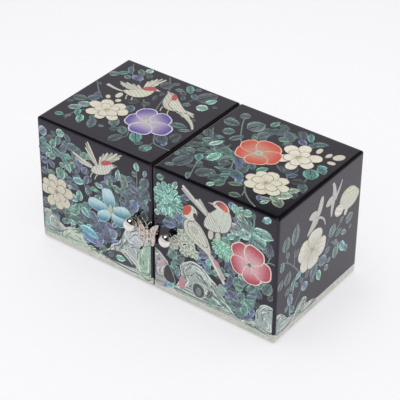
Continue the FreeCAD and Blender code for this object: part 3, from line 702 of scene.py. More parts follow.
def disc_form(name, radii, depth):
    """A small flat piece of unit width, round or chipped as its radii say."""
    count = len(radii)
    corners, grains = [(0, 0, 0.1)], [(0.0, depth, 0.0)]
    for height in (0.07, leaf_foot):
        for k, radius in enumerate(radii):
            corners.append((*set_off(0, 0, 0.5 * radius, 0, 2 * math.pi * k / count), height))
            grains.append((1.6, depth, 0.0))
    polygons = [(0, 1 + k, 1 + (k + 1) % count) for k in range(count)]
    polygons += flipped(joined(1, 1 + count, count))
    polygons.append(tuple(1 + count + k for k in reversed(range(count))))
    return keep_form(name, corners, grains, polygons)


def write_down(mesh, name, kind, rows):
    """Gives each corner of a mesh its row of an attribute."""
    field = {"FLOAT_VECTOR": "vector", "FLOAT_COLOR": "color", "INT": "value"}[kind]
    mesh.attributes.new(name, kind, "POINT").data.foreach_set(field, flat(rows))


def keep_form(name, corners, grains, polygons):
    mesh = bpy.data.meshes.new(name)
    mesh.from_pydata(corners, [], polygons)
    write_down(mesh, "grain", "FLOAT_VECTOR", grains)
    return bpy.data.objects.new(name, mesh)


def leaf_tree():
    """Sets a form on each point, turned and stretched as the point says."""
    tree = bpy.data.node_groups.new("shell_leaves", "GeometryNodeTree")
    for name, way, kind in (("Points", "INPUT", "Geometry"), ("Forms", "INPUT", "Collection"),
                            ("Thickness", "INPUT", "Float"), ("Shell", "INPUT", "Material"),
                            ("Leaves", "OUTPUT", "Geometry")):
        tree.interface.new_socket(name, in_out=way, socket_type=f"NodeSocket{kind}")
    given = add(tree, "NodeGroupInput")
    turn, size, form = (
        add(tree, "GeometryNodeInputNamedAttribute", {"data_type": kind}, {"Name": name})
        for name, kind in (("turn", "FLOAT_VECTOR"), ("stretch", "FLOAT_VECTOR"), ("form", "INT")))
    thick = add(tree, "ShaderNodeCombineXYZ", {}, {"X": 1.0, "Y": 1.0, "Z": given.outputs["Thickness"]})
    scale = add(tree, "ShaderNodeVectorMath", {"operation": "MULTIPLY"}, {
        0: size.outputs["Attribute"], 1: thick.outputs[0]})
    forms = add(tree, "GeometryNodeCollectionInfo", {}, {
        "Collection": given.outputs["Forms"], "Separate Children": True, "Reset Children": True})
    rotation = add(tree, "FunctionNodeEulerToRotation", {}, {0: turn.outputs["Attribute"]})
    placed = add(tree, "GeometryNodeInstanceOnPoints", {}, {
        "Points": given.outputs["Points"], "Instance": forms.outputs[0], "Pick Instance": True,
        "Instance Index": form.outputs["Attribute"], "Rotation": rotation.outputs[0],
        "Scale": scale.outputs[0]})
    real = add(tree, "GeometryNodeRealizeInstances", {}, {0: placed.outputs[0]})
    shown = add(tree, "GeometryNodeSetMaterial", {}, {
        "Geometry": real.outputs[0], "Material": given.outputs["Shell"]})
    add(tree, "NodeGroupOutput", {}, {0: shown.outputs[0]})
    return tree


def set_leaves():
    """One mesh of leaves for each body, from the points noted above."""
    forms = bpy.data.collections.new("leaf_forms")
    for form in (leaf_form("form_0_rose_leaf", 0.85, 0.85, 0.10, 0.035),
                 leaf_form("form_1_round_leaf", 0.55, 0.9, 0.05, 0.03),
                 leaf_form("form_2_slender_leaf", 1.3, 0.8, 0.0, 0.05),
                 disc_form("form_3_bead", [1.0] * 8, 0.0),
                 disc_form("form_4_chip", [1.0, 0.75, 0.95, 0.7, 1.05, 0.8, 0.9], 0.5)):
        forms.objects.link(form)
    tree = leaf_tree()
    names = {item.name: item.identifier for item in tree.interface.items_tree if item.in_out == "INPUT"}
    for body, points in leaf_points.items():
        mesh = bpy.data.meshes.new("points")
        spots, turns, stretches, tints, chosen = zip(*points)
        mesh.from_pydata(spots, [], [])
        write_down(mesh, "turn", "FLOAT_VECTOR", turns)
        write_down(mesh, "stretch", "FLOAT_VECTOR", stretches)
        write_down(mesh, "tint", "FLOAT_COLOR", tints)
        write_down(mesh, "form", "INT", chosen)
        carrier = stand(f"{body}_points", mesh)
        modifier = carrier.modifiers.new("leaves", "NODES")
        modifier.node_group = tree
        modifier[names["Forms"]] = forms
        modifier[names["Thickness"]] = 1.0 * mm
        modifier[names["Shell"]] = shell_inlay
        graph = bpy.context.evaluated_depsgraph_get()
        leaves = bpy.data.meshes.new_from_object(carrier.evaluated_get(graph))
        leaves.name = f"{body}_shell_leaves"
        bpy.data.objects.remove(carrier)
        piece = stand(leaves.name, leaves)
        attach(piece, body)
    for form in list(forms.objects):
        bpy.data.objects.remove(form)
    bpy.data.collections.remove(forms)


def set_figures():
    """One mesh of flowers, birds, rocks and stems for each body."""
    for body, store in cut_figures.items():
        mesh = bpy.data.meshes.new(f"{body}_shell_figures")
        mesh.from_pydata(store["corner"], [], store["polygon"])
        write_down(mesh, "tint", "FLOAT_COLOR", store["tint"])
        write_down(mesh, "grain", "FLOAT_VECTOR", store["grain"])
        mesh.materials.append(shell_inlay)
        piece = stand(mesh.name, mesh)
        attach(piece, body)


def set_leaf_list(face, rows, play=0.85):
    """Leaves from rows of middle, length, width, angle, colour and form. Without a form the width
    decides between a rose leaf and a round one."""
    chance = random.Random(face)
    for s, t, length, width, angle, colour, *form in rows:
        form = form or [rose_leaf if width < 0.72 * length else round_leaf]
        leaf(face, s, t, length, width, angle, colour, form[0], 0.1 + chance.random() * 0.03, play)


def fill_between(face, boxes, bare, count, colours, seed, low, high, play=0.85):
    """Small leaves and chips strewn through boxes of the face, away from its bare places and from
    one another."""
    chance = random.Random(seed)
    taken, apart, tries = [], 2.9, 12
    for _ in range(count * tries):
        s0, t0, s1, t1 = chance.choice(boxes)
        s, t = chance.uniform(s0, s1), chance.uniform(t0, t1)
        if any(a < s < c and b < t < d for a, b, c, d in bare):
            continue
        if any((s - a) ** 2 + (t - b) ** 2 < apart ** 2 for a, b in taken):
            continue
        taken.append((s, t))
        long = chance.uniform(low, high)
        leaf(face, s, t, long, long * chance.uniform(0.5, 0.8), chance.uniform(0, 360),
             chance.choice(colours), chance.choice((rose_leaf, rose_leaf, round_leaf, chip)),
             0.05 + chance.random() * 0.03, play)
        if len(taken) >= count:
            break


def cut_stems(face, lines, colour, play, lift=0.09):
    """Thin stems, each through points with their widths."""
    for points in lines:
        cut_strip(face, points, colour, lift, play)


def cut_buds(face, buds, colour, lift=0.15):
    """Pale buds with an edge of bone, each its middle, length, width and direction."""
    for s, t, length, width, angle in buds:
        cut_plate(face, ellipse(s, t, length, width, angle), colour, lift, 0.05, lines="along", pitch=1.6,
                  depth=0.3, axis=angle, rim="bone")


def cut_rock(face, points, colour, lift, centre=None, gap=1.15):
    """A water-worn rock: a knobbly outline with a pale edge, and dark and pale strokes that wander
    round inside it, gap millimetres apart."""
    loop = smooth_loop(points, 5)
    cs, ct = centre or (sum(p[0] for p in loop) / len(loop), sum(p[1] for p in loop) / len(loop))
    cut_plate(face, loop, colour, lift, 0.2, (cs, ct), rim="white", rim_width=0.06)
    chance = random.Random(f"{face} {points[0]} {len(points)}")
    size = max(math.hypot(s - cs, t - ct) for s, t in loop)
    count = len(loop)
    share, stroke = 0.9, 0
    while share > 0.16:
        lean, turn = chance.uniform(0, 6.28), chance.uniform(0, 6.28)
        start = chance.randrange(count)
        for _ in range(max(1, round(3 * share))):
            long = max(5, round(count * chance.uniform(0.16, 0.34)))
            path = []
            for k in range(long):
                i = (start + k) % count
                w = 2 * math.pi * i / count
                near = share * (1 + 0.09 * math.sin(3 * w + lean) + 0.06 * math.sin(8 * w + turn))
                near = min(near - 0.10 * k / long, 0.95)
                wide = 0.25 + (0.75 if stroke % 2 else 0.6) * math.sin(math.pi * (k + 0.5) / long)
                path.append((cs + (loop[i][0] - cs) * near, ct + (loop[i][1] - ct) * near, wide))
            cut_strip(face, path[::2] + [path[-1]], ("#47524f", "#e3e7de")[stroke % 2], lift + 0.03, 0.1)
            start = (start + long + chance.randrange(2, 6)) % count
        stroke += 1
        share -= gap / size


def cut_patch(face, points, *look, **lines):
    """A plate with a smooth outline through the points."""
    cut_plate(face, smooth_loop(points), *look, **lines)


def cut_legs(face, lines, lift=0.15, colour="bone"):
    """A bird's legs, each from hip to foot."""
    for s0, t0, s1, t1 in lines:
        cut_strip(face, [(s0, t0, 1.1), ((s0 + s1) / 2 - 0.4, (t0 + t1) / 2, 0.8), (s1, t1, 0.9)],
                  colour, lift, 0.05)


def cut_eye(face, s, t, size, lift):
    leaf(face, s, t, size, size, 0, "#15100f", bead, lift, 0.0)


def feathers(face, points, colour, lift, axis, pitch, depth, centre=None, lines="along"):
    """A body or a wing with a dark edge and fine lines along it or across, 1.7 times pitch apart."""
    cut_patch(face, points, colour, lift, 0.03, centre=centre, lines=lines, pitch=pitch * 1.7, depth=depth,
              axis=axis, rim="#5d5c54", rim_width=0.07)


# The shell inlay: the left front

def draw_left_front():
    face = "left_front"
    # Rocks along the foot
    cut_rock(face, [(0, 6), (0, 22), (5, 26), (11, 25), (15, 20), (22, 16), (24, 10), (22, 6)], "#a7aea8",
             0.07)
    cut_rock(face, [(17, 6), (19, 13), (24, 18), (32, 20), (37, 18), (40, 12), (46, 9), (46, 6)], "#c3cdba",
             0.08, gap=3.2)
    cut_rock(face, [(38, 6), (44, 11), (50, 9), (57, 13), (62, 9), (62, 6)], "#aab8a8", 0.075)
    cut_rock(face, [(54, 6), (57, 12), (62, 17), (64, 21), (69.5, 25), (73, 31), (76, 38), (80, 43), (86, 46),
                    (93, 41), (101, 37), (101, 6)], "#b3b5b6", 0.085, (81, 20))
    cut_rock(face, [(86, 6), (85, 18), (88, 28), (92, 33), (101, 34), (101, 6)], "#a9c0a9", 0.10, (93, 16),
             gap=3.4)
    cut_rock(face, [(76, 29), (78, 37), (83, 42), (90, 42), (94, 36), (90, 28), (83, 26)], "#c6c3ca", 0.1,
             gap=2.2)
    cut_patch(face, [(54, 8.5), (59, 13.5), (66, 17), (74, 17.5), (81, 14), (86, 10.5), (78, 8), (66, 7.3)],
              "#2a3038", 0.125, 0.12, lines="rings", pitch=2.5, depth=0.35, rim="#8d9a97", rim_width=0.06)
    leaf(face, 71.5, 12.2, 9.0, 5.5, 5, "#9be6c9", rose_leaf, 0.16)
    leaf(face, 63, 12, 7.0, 4.5, 40, "slate", rose_leaf, 0.15)
    cut_stems(face, (
        [(74, 21, 1.0), (80, 17, 1.3), (86, 12, 1.2), (89, 8.5, 0.7)],
        [(72, 19, 0.8), (77, 15.5, 1.0), (82, 11.5, 0.8)], [(78, 21, 0.8), (84, 17, 1.0), (90, 12, 0.7)]),
        "#dfe3da", 0.05, 0.155)
    # Flowers
    cut_rose(face, 15, 44, 13.5, 11.5, "#d6cfbd", 10, ((8, 0.68), (5, 0.36)))
    cut_flower(face, 64, 48.5, [(50.5, 49, 8.5), (56.5, 41.5, 7.5), (71.5, 43, 8), (75.5, 52, 8.5),
                                (62, 60.5, 9.5)], "#0c7c93", "#c9b99c", "#b4d0d3", "#c4dfe8", 0.16, 0.1, 0.1,
               3.4, beads=0, lean=-80)
    cut_plate(face, ellipse(64, 51, 8, 3.4, 95), "#cbbd9f", 0.3, 0.05, lines="along", pitch=1.1, depth=0.5,
              axis=95, rim="#5d5643")
    for k, (s, t, colour) in enumerate(((30, 46, "cyan"), (36, 50, "mint"), (42.5, 44, "teal"),
                                        (41, 38, "cyan"), (33, 38, "jade"), (26, 41, "slate"))):
        leaf(face, s, t, 9.5, 6.5, math.degrees(math.atan2(t - 43.5, s - 35.5)), colour, rose_leaf,
             0.12 + 0.01 * k)
    for s, t, length, width, angle, colour in ((44, 22.5, 17, 8.5, -14, "#62d6ea"),
                                               (43.5, 17.5, 15, 7, -24, "#4f9fdc"),
                                               (50, 16.5, 9, 5, -40, "#9a8ad0")):
        leaf(face, s, t, length, width, angle, colour, rose_leaf, 0.19, 0.4)
    # Birds
    cut_fan(face, (55, 79), [(50.5, 86), (49, 89), (47.8, 92), (46.5, 95), (45.2, 97.6), (43.6, 96),
                             (43.2, 92.5), (44.5, 88)], 1.9, ("#d3d0c0", "#aba898"), 0.18)
    cut_fan(face, (55, 82), [(56.5, 90), (59.5, 93.5), (63, 95.5), (67, 97), (71, 98), (74.8, 98.4),
                             (73, 95.5), (70, 93)], 1.9, ("#d3d0c0", "#aba898"), 0.19)
    cut_fan(face, (52, 78), [(37, 79), (33.5, 80.5), (31.5, 84)], 2.2, ("#d3d0c0", "#b1ae9e"), 0.17)
    feathers(face, [(47, 75), (50, 80), (56, 84), (62, 86), (67, 88.5), (69.5, 87), (66, 83.5), (63, 79),
                    (58, 76), (52, 74)], "#d3d4c8", 0.21, 20, 1.6, 0.35, (58, 81), "across")
    cut_patch(face, [(56.5, 85), (59, 88), (64, 89.5), (66.5, 88.5), (63, 86), (59, 84)], "#b8404c", 0.275,
              0.0)
    cut_plate(face, [(67.5, 88.2), (67.5, 86.2), (71.0, 87.6)], "bone", 0.21, 0.0)
    cut_eye(face, 66.3, 87.6, 0.9, 0.26)
    cut_legs(face, [(50, 76, 46.5, 69.5), (54, 75.5, 50.5, 69.5)])
    # Stems
    cut_stems(face, (
        [(20, 58, 1.0), (24, 68, 0.9), (22, 80, 0.8), (21, 93, 0.7)],
        [(24, 68, 0.9), (32, 76, 0.8), (36, 85, 0.7)], [(8, 57, 0.9), (7, 72, 0.8), (6, 88, 0.7)],
        [(80, 55, 1.0), (84, 66, 0.9), (87, 78, 0.8), (87, 90, 0.7)],
        [(87, 76, 0.8), (92, 84, 0.7), (94, 91, 0.6)], [(72, 60, 0.9), (74, 70, 0.8), (73, 80, 0.7)],
        [(44, 24, 1.2), (40, 34, 1.0), (34, 42, 0.9)], [(46, 52, 1.0), (40, 62, 0.9), (33, 70, 0.8)]),
        "smoke", 0.3)
    # Leaves, placed one by one
    set_leaf_list(face, [
        (5, 91, 8.5, 8, 40, "lilac"), (21, 95, 8, 6.5, 10, "mint"), (27.5, 93, 8, 5, -55, "slate"),
        (31, 87.5, 10, 7, 15, "slate", 1), (37, 87, 5, 6, 70, "smoke"), (5, 83, 8, 6, 30, "teal"),
        (10, 79, 8, 5, -40, "mint"), (14, 84, 9, 6, 60, "jade"), (18.5, 88.5, 9, 5, 75, "teal"),
        (3.8, 75, 7, 5, -20, "teal"), (12, 73, 8, 6, 15, "jade"), (17.5, 78, 9, 6, -30, "teal"),
        (23, 83, 8, 6, 50, "slate"), (24, 74, 8, 5, -60, "teal"), (5, 67, 8, 6, 10, "violet"),
        (12, 66, 7, 5, -50, "slate"), (19.5, 62, 10, 9, 85, "jade"), (27, 69, 8, 5, -70, "mint"),
        (31, 73, 7, 5, 40, "jade"), (37, 77, 10, 6, -70, "violet"), (41.5, 73, 8, 5, 60, "violet"),
        (28, 60, 7, 5, 20, "slate"), (36, 62, 12, 6, 12, "cyan"), (33, 55.5, 8, 5, -20, "slate"),
        (43, 66, 9, 5, 70, "violet"), (45, 58.5, 8, 5, -60, "slate"), (4.5, 57.5, 8, 5, -30, "slate"),
        (11.5, 59, 7, 5, 25, "teal"), (27.5, 53.5, 5, 3.5, 10, "pale"), (8.5, 73, 5, 4, 60, "mint"),
        (7, 79.5, 6, 4, 10, "teal"), (15, 92, 6, 4, -20, "slate"), (25, 88, 6, 4, -20, "smoke"),
        (71, 81, 10, 5, 85, "mint"), (76, 78, 12, 7, -75, "#a08f94", 1), (87, 94, 7, 5, 95, "mint", 1),
        (85, 87.5, 5, 4.5, 0, "smoke"), (94, 91.5, 6, 3.5, 70, "lilac"), (93.5, 83.5, 11, 8, 60, "slate"),
        (84, 75, 9, 6, -30, "violet"), (90, 75, 9, 6, 50, "slate"), (93.5, 67.5, 9, 4, 75, "cyan"),
        (84, 61.5, 12, 9.5, 60, "blue"), (87.3, 63.5, 4, 3.5, 0, "cyan", 4), (78, 66, 8, 5, -50, "slate"),
        (63.5, 72.5, 10, 6, 85, "sage"), (54, 65.5, 8, 4, -10, "pale"), (70, 69, 9, 6, -20, "sage"),
        (67.5, 64.5, 6, 3, 20, "umber"), (75, 70.5, 7, 5, 60, "smoke"), (81, 82, 7, 5, 30, "slate"),
        (29, 35, 8, 5, 10, "mint"), (48.5, 38, 9, 6.5, -50, "violet"), (56, 35.5, 9, 6, 20, "blue"),
        (63, 35, 9, 6, -30, "violet"), (67, 38.5, 6, 4, 60, "lilac"), (52, 30, 9, 6, 60, "slate"),
        (59, 27.5, 9, 6, -20, "violet"), (45.5, 25.5, 12, 8, 10, "cyan", 1), (44, 18.5, 12, 8, -8, "teal", 1),
        (50.5, 15, 9, 5, 20, "violet"), (40.5, 14, 7, 4, -30, "lilac"), (51, 22.5, 9, 6, 40, "blue"),
        (24, 31.5, 9, 5, 10, "smoke"), (31, 28, 13, 8, 18, "#4f8a86"), (37, 25.5, 9, 5, 5, "sage"),
        (18, 33, 11, 8, -30, "#6f8c88"), (22, 37, 9, 7, 40, "lilac"), (30, 35, 12, 9, 10, "jade"),
        (51, 27, 12, 10, 30, "navy"), (58, 31, 11, 9, -40, "violet"), (65, 30, 10, 8, 60, "lilac"),
        (47, 33, 11, 8, 20, "#5a5f86"), (44, 21, 13, 9, -15, "cyan", 1), (53, 20, 10, 8, 50, "blue"),
        (60, 24, 9, 7, 10, "navy"), (36, 20, 9, 6, 30, "#7fa79c"), (93, 57, 10, 7, 80, "#5d6478", 1),
        (94, 75, 11, 8, 60, "#566076"), (89, 70, 10, 7, -30, "#675f7c", 1), (94, 48, 9, 6, 60, "#4f5b6c", 1),
        (81, 68, 10, 7, 30, "#5a6a74", 1), (79, 61, 9, 6, 70, "#6a5f77", 1), (94, 65, 8, 6, -60, "#6f7f86"),
        (90, 51, 7, 5, 20, "#5c5468"), (78, 74, 9, 6, 50, "#63727a", 1), (17.5, 30, 8, 5, -50, "ash"),
        (11.5, 30.5, 8, 5, 40, "jade"), (5.5, 33, 7, 5, -30, "smoke"), (22, 22.5, 9, 5, 30, "teal"),
        (28, 24, 8, 4, -10, "mint"), (56, 13.5, 8, 6.5, 30, "jade"), (4, 13, 6, 4, 20, "cyan", 4),
        (5, 28.5, 5, 3, 80, "#96505c"), (38, 31.5, 8, 5, -40, "slate"), (43, 32, 7, 5, 70, "deep"),
        (57, 20.5, 7, 5, -60, "slate"), (68, 56.5, 6, 3.5, -30, "teal"), (56, 55.5, 7, 4, 50, "teal"),
        (80, 57, 5, 3, 50, "deep")])
    fill_between(face, [(2, 54, 48, 90), (26, 22, 72, 44), (42, 54, 98, 82), (2, 20, 30, 36)],
                 [(86, 53, 100, 64), (47, 68, 70, 74), (15, 15, 20, 29), (79, 84, 84, 100)], 125,
                 ("deep", "slate", "navy", "violet", "teal", "ash", "jade", "blue"), 11, 5.5, 9.5)


# The shell inlay: the right front

def cut_cluster(face, s, t, radius, colours, seed):
    """A many-petalled head: rings of small petals round a middle."""
    chance = random.Random(seed)
    lift, layer = 0.1, 0.02
    cut_plate(face, ellipse(s, t, radius * 1.7, radius * 1.7, 15, 16), "deep", lift - layer, 0.6,
              lines="rings", pitch=2.0, depth=0.5)
    for ring, share in enumerate((0.92, 0.70, 0.48, 0.28, 0.1)):
        count = max(3, round(15 * share))
        for k in range(count):
            w = 2 * math.pi * (k + 0.5 * ring) / count
            far = radius * share
            size = radius * 0.54 * chance.uniform(0.85, 1.2)
            leaf(face, *set_off(s, t, far, 0, w), size, size * 0.7, math.degrees(w) + 180,
                 chance.choice(colours), rose_leaf, lift + ring * layer, 0.7)


def draw_right_front():
    face = "right_front"
    # Rocks along the foot
    cut_rock(face, [(-1, 6), (-1, 33), (5, 34), (9, 31), (13, 27), (9, 22), (10, 16), (16, 12), (22, 10),
                    (22, 6)], "#b5a9ac", 0.07, (5, 17))
    cut_rock(face, [(16, 6), (20, 12), (24, 22), (23, 30), (28, 35), (34, 38), (42, 36), (48, 31), (53, 27.5),
                    (57, 21.5), (63, 15), (69, 9.5), (74, 6)], "#a9b0ac", 0.08, (36, 18))
    cut_rock(face, [(27, 27), (30, 33), (37, 36), (44, 33), (49, 27), (47, 23), (42, 27), (35, 29), (31, 25)],
             "#b6c0b9", 0.10, (38, 31), gap=1.7)
    cut_patch(face, [(33, 14), (34, 20), (38, 22.5), (43, 20), (44, 14), (41, 10), (36, 9.5)], "#3c3f40",
              0.115, 0.1, lines="rings", pitch=3.0, depth=0.5, rim="#c3c9c0", rim_width=0.16)
    cut_patch(face, [(36, 13), (37, 18), (40, 18.5), (41, 14), (39, 11)], "smoke", 0.13, 0.2, lines="rings",
              pitch=3.0, depth=0.4)
    cut_rock(face, [(70, 6), (77, 11), (83, 13), (87, 10), (87, 6)], "#b2bbb2", 0.075)
    cut_rock(face, [(84, 6), (85, 14), (85, 20), (88, 27), (94, 30), (101, 26), (101, 6)], "#a9b1ad", 0.085,
             (92, 16), gap=1.5)
    for points, colour in (([(9, 14), (9.5, 22), (13, 26.5), (17, 20), (19, 13), (14, 11)], "#111113"),
                           ([(22, 12), (23, 20), (26, 23), (27.5, 15), (25, 10)], "rose"),
                           ([(5, 22), (7, 29), (10, 27), (8, 21)], "#c9a9b2"),
                           ([(56, 30), (53, 22), (58, 20), (60, 26)], "#8da69d")):
        cut_patch(face, points, colour, 0.12, 0.08, lines="rings", pitch=4.0, depth=0.2, rim="#a3a9a3",
                  rim_width=0.1)
    # Stems
    cut_stems(face, (
        [(90, 44, 0.9), (91, 58, 1.0), (93, 64, 1.0), (99, 64.5, 0.8)],
        [(82, 68, 1.2), (79.5, 80, 1.9), (81.5, 89, 1.5), (81, 97, 1.0)],
        [(93, 64, 0.8), (95, 74, 0.8), (91, 84, 0.7)], [(60, 50, 1.0), (57, 60, 0.9), (58, 70, 0.9)],
        [(86, 41, 0.9), (84, 30, 1.0), (78, 22, 1.0)], [(26, 40, 1.0), (18, 34, 0.9), (16, 24, 0.8)],
        [(66, 12, 1.0), (70, 26, 1.0), (66, 38, 0.9)]), "#6d8d88", 0.3)
    # Flower heads
    cut_cluster(face, 12.5, 79, 11.5, ("#7fe3c2", "#62cda9", "#4fb3a8", "#93e6cf", "#6fd6d2"), 5)
    cut_cluster(face, 57.5, 60, 7.5, ("#7fe3b6", "#5fcf9d", "#93e6c4"), 6)
    cut_flower(face, 79, 56, [(71.0, 64.5, 12.5), (69.5, 52, 13), (81, 46, 13), (90.5, 55, 13.5),
                              (83, 66.5, 14)], "#b8354e", "#d8a0a8", "#efe4d6", "#dba5ac", 0.18, 0.09, 0.02,
               3.2, 3.0, 0.1)
    leaf(face, 79, 56, 3.0, 3.0, 0, "#2f7f5e", bead, 0.36, 0.1)
    for s, t, turn in ((22, 50, 10), (31, 52, 40), (27, 44, 70), (34, 45, 20), (17, 45, 50), (25, 56, 0)):
        for k in range(5):
            w = math.radians(turn + 72 * k)
            leaf(face, *set_off(s, t, 2.7, 0, w), 5.0, 4.2, math.degrees(w) + 180,
                 ("#d6d8c8", "#c4d0bd")[k % 2], round_leaf, 0.12 + 0.01 * k, 0.12)
        leaf(face, s, t, 2.0, 2.0, 0, "#d9d6c6", bead, 0.17, 0.05)
    # The lower bird
    feathers(face, [(27, 70), (25.5, 64), (28, 58), (33, 54.5), (39, 52), (45, 49), (48.5, 47), (49, 52),
                    (46.5, 60), (43, 66), (39, 70.5), (33, 73)], "#cfcfc2", 0.19, -50, 1.5, 0.15, (36, 62))
    cut_fan(face, (42, 57), [(59.5, 31), (58, 33), (56, 36), (60, 35), (53, 40)], 3.3, ("#d9d6cd", "#b7b4ab"),
            0.17)
    cut_plate(face, ellipse(53, 45, 7, 4, -52), "#c98d97", 0.195, 0.05, lines="along", pitch=1.2, depth=0.3)
    feathers(face, [(29, 68), (30, 61), (35, 57), (42, 54), (46, 55), (43.5, 63), (39, 69), (33, 70.5)],
             "#d8d8ca", 0.215, -55, 1.2, 0.6, (37, 63))
    cut_patch(face, [(31, 67), (32, 62.5), (36, 60.5), (39, 63), (37, 67.5)], "#c2c3b4", 0.24, 0.05,
              lines="rings", pitch=2.6, depth=0.6, rim="#e0dfd2", rim_width=0.14)
    feathers(face, [(26, 72), (25.5, 77), (28, 81), (32, 83), (36, 81.5), (37.5, 77.5), (36, 72.5), (31, 70)],
             "#dcdacb", 0.235, 60, 1.6, 0.2, (31, 76.5))
    cut_patch(face, [(25.8, 73.2), (25.6, 78), (28.2, 81.3), (31.9, 82), (32.6, 79.6), (31, 76.4),
                     (28.6, 73.4)], "#c2452f", 0.262, 0.0)
    cut_patch(face, [(34, 77.6), (36.4, 77.8), (37.2, 74.8), (35.2, 72.6), (33.8, 75)], "#1c1a1c", 0.262, 0.0)
    cut_plate(face, [(36.8, 81.0), (36.8, 78.8), (39.6, 79.6)], "#4c4640", 0.24, 0.0)
    cut_eye(face, 34.6, 79.4, 1.1, 0.27)
    # The upper bird
    cut_fan(face, (49, 77), [(25, 95.5), (24.5, 93.2), (36, 89), (38.5, 90.5)], 3.0, ("#d4d3cb", "#b3b2a9"),
            0.17)
    feathers(face, [(53, 89.5), (57, 92.5), (61.8, 91.5), (64.3, 87), (64.8, 82), (63, 76), (60, 72.5),
                    (55, 70.5), (50, 71.5), (46, 75), (45.5, 81), (48.5, 85)], "#cdd2c4", 0.195, 75, 2.0,
             0.15, (56, 81.5))
    cut_patch(face, [(49.4, 90.8), (51.2, 94), (56, 95.8), (60.6, 94.2), (62.4, 90), (57, 87.6), (53, 88.4)],
              "#d9d9cd", 0.21, 0.03)
    feathers(face, [(46.5, 84), (50, 80), (54.5, 76), (56, 71.5), (50, 69.5), (43, 70.5), (42.5, 75),
                    (44.5, 80)], "#d6d7ca", 0.22, -60, 1.1, 0.65, (48.5, 75.5))
    cut_patch(face, [(51.2, 92.6), (53.4, 95), (57.2, 95.4), (60.8, 93.4), (61.8, 89.8), (59.4, 88.6),
                     (55, 90.4)], "#d0664a", 0.24, 0.0, core="#8d3848", axis=-25, rim="#d5c7b4",
              rim_width=0.1)
    cut_plate(face, [(49.8, 92.2), (50.0, 90.2), (45.6, 90.8)], "#b3aea2", 0.22, 0.0)
    cut_eye(face, 51.4, 91.4, 1.0, 0.26)
    for s, t in ((48, 66.5), (53.5, 67)):
        cut_plate(face, ellipse(s, t, 8.5, 4.5, 82), "#cfcdbf", 0.16, 0.05, lines="along", pitch=1.3,
                  depth=0.35, rim="#8b8a80")
    cut_legs(face, [(53, 72, 52, 65), (56.5, 71.5, 57, 65.5)], 0.17, "#2a2725")
    # Leaves, placed one by one
    set_leaf_list(face, [
        (7, 94.5, 7, 5, 20, "jade"), (19, 93, 7, 4.5, 70, "pale"), (28, 87, 9, 5, 15, "violet"),
        (26, 84, 7, 4, -20, "deep"), (4, 65.5, 7, 5, 10, "pale"), (21, 68, 9, 6, -40, "blue"),
        (14, 64, 8, 5, 20, "slate"), (18, 73, 8, 5, 60, "slate"), (14, 60, 12, 7, 5, "blue"),
        (8, 57, 7, 4, 20, "navy"), (23, 61, 8, 5, 70, "deep"), (67, 94.5, 8, 6, -70, "mint"),
        (75, 94.5, 11, 5, 8, "#a8c98a"), (77, 97, 6, 3, 10, "cyan"), (73, 86.5, 18, 8.5, -50, "#8f9592"),
        # The first leaf on the next line, near white and laid over the long grey leaf before it, is a painted
        # highlight on that leaf
        (70.5, 89.5, 7, 3, -50, "#e3e2dc"), (67, 79, 11, 10, 10, "#dfc3c8"), (75, 78.5, 10, 9, 30, "#cfd9d2"),
        (70, 77, 5, 3, -20, "cyan"), (64, 72, 7, 5, 40, "mint"), (61, 67, 7, 5, -20, "jade"),
        (88.5, 84, 17, 9, -3, "#9cc9b8"), (91, 87, 9, 3, -12, "#d9b3ba"), (87, 83.5, 8, 4, 10, "mint"),
        (86, 76, 12, 8, -20, "#8fa59e"), (85, 73, 6, 4, 10, "jade"), (94, 76, 9, 5, -70, "#514a66"),
        (92, 96.5, 8, 4, 40, "cyan"), (80, 76, 8, 4, 70, "teal"), (78, 88, 7, 4, 80, "teal"),
        (93, 70, 7, 3, -40, "smoke"), (46.5, 43, 7, 5, 60, "cyan", 1), (42, 47, 9, 6, 20, "violet"),
        (44, 40, 7, 5, -40, "blue"), (40, 52, 7, 4, 40, "slate"), (52, 37, 7, 5, 30, "jade"),
        (47, 36, 7, 5, -10, "teal"), (62, 47, 9, 5, 70, "navy"), (65, 43, 9, 6, -60, "slate"),
        (64, 36, 9, 5, 80, "navy"), (61, 31, 8, 5, 20, "violet"), (71, 34, 8, 6, 10, "jade"),
        (69, 39, 7, 5, 60, "teal"), (75, 40, 8, 5, 20, "smoke"), (81, 38, 10, 6, 50, "teal"),
        (87, 36, 8, 5, -50, "slate"), (93, 43, 12, 9, 60, "smoke"), (90, 47, 6, 4, -10, "#d0a6ae"),
        (96, 37, 7, 4, 60, "ash"), (66, 25, 10, 7, -30, "violet", 1), (73, 27, 10, 7, 60, "teal", 1),
        (79, 24, 9, 7, -40, "jade"), (70, 19, 10, 7, 20, "slate", 1), (76, 18, 10, 7, 80, "jade", 1),
        (72, 12.5, 9, 6, -10, "teal"), (78.5, 12.5, 8, 5, 40, "violet"), (82, 19, 9, 5, 80, "blue"),
        (81, 30, 8, 5, 10, "teal"), (86, 26, 8, 4, 70, "umber"), (17, 36.5, 10, 8, 60, "sage"),
        (21, 32, 7, 5, -20, "smoke"), (18, 27, 8, 5, -60, "teal"), (21, 23, 7, 5, 60, "sage"),
        (24.5, 35, 7, 4, 60, "smoke"), (15, 9.5, 9, 5, 20, "cyan"), (11, 8.5, 6, 3, 60, "blue"),
        (20, 9, 6, 4, 10, "teal"), (50, 11.5, 10, 7, 10, "jade", 1), (56, 11, 8, 5, 40, "slate"),
        (48, 17, 8, 5, 60, "ash"), (45, 11, 6, 4, 60, "rose"), (54, 16.5, 8, 4, -10, "sage"),
        (60, 13, 7, 4, -30, "sage")])
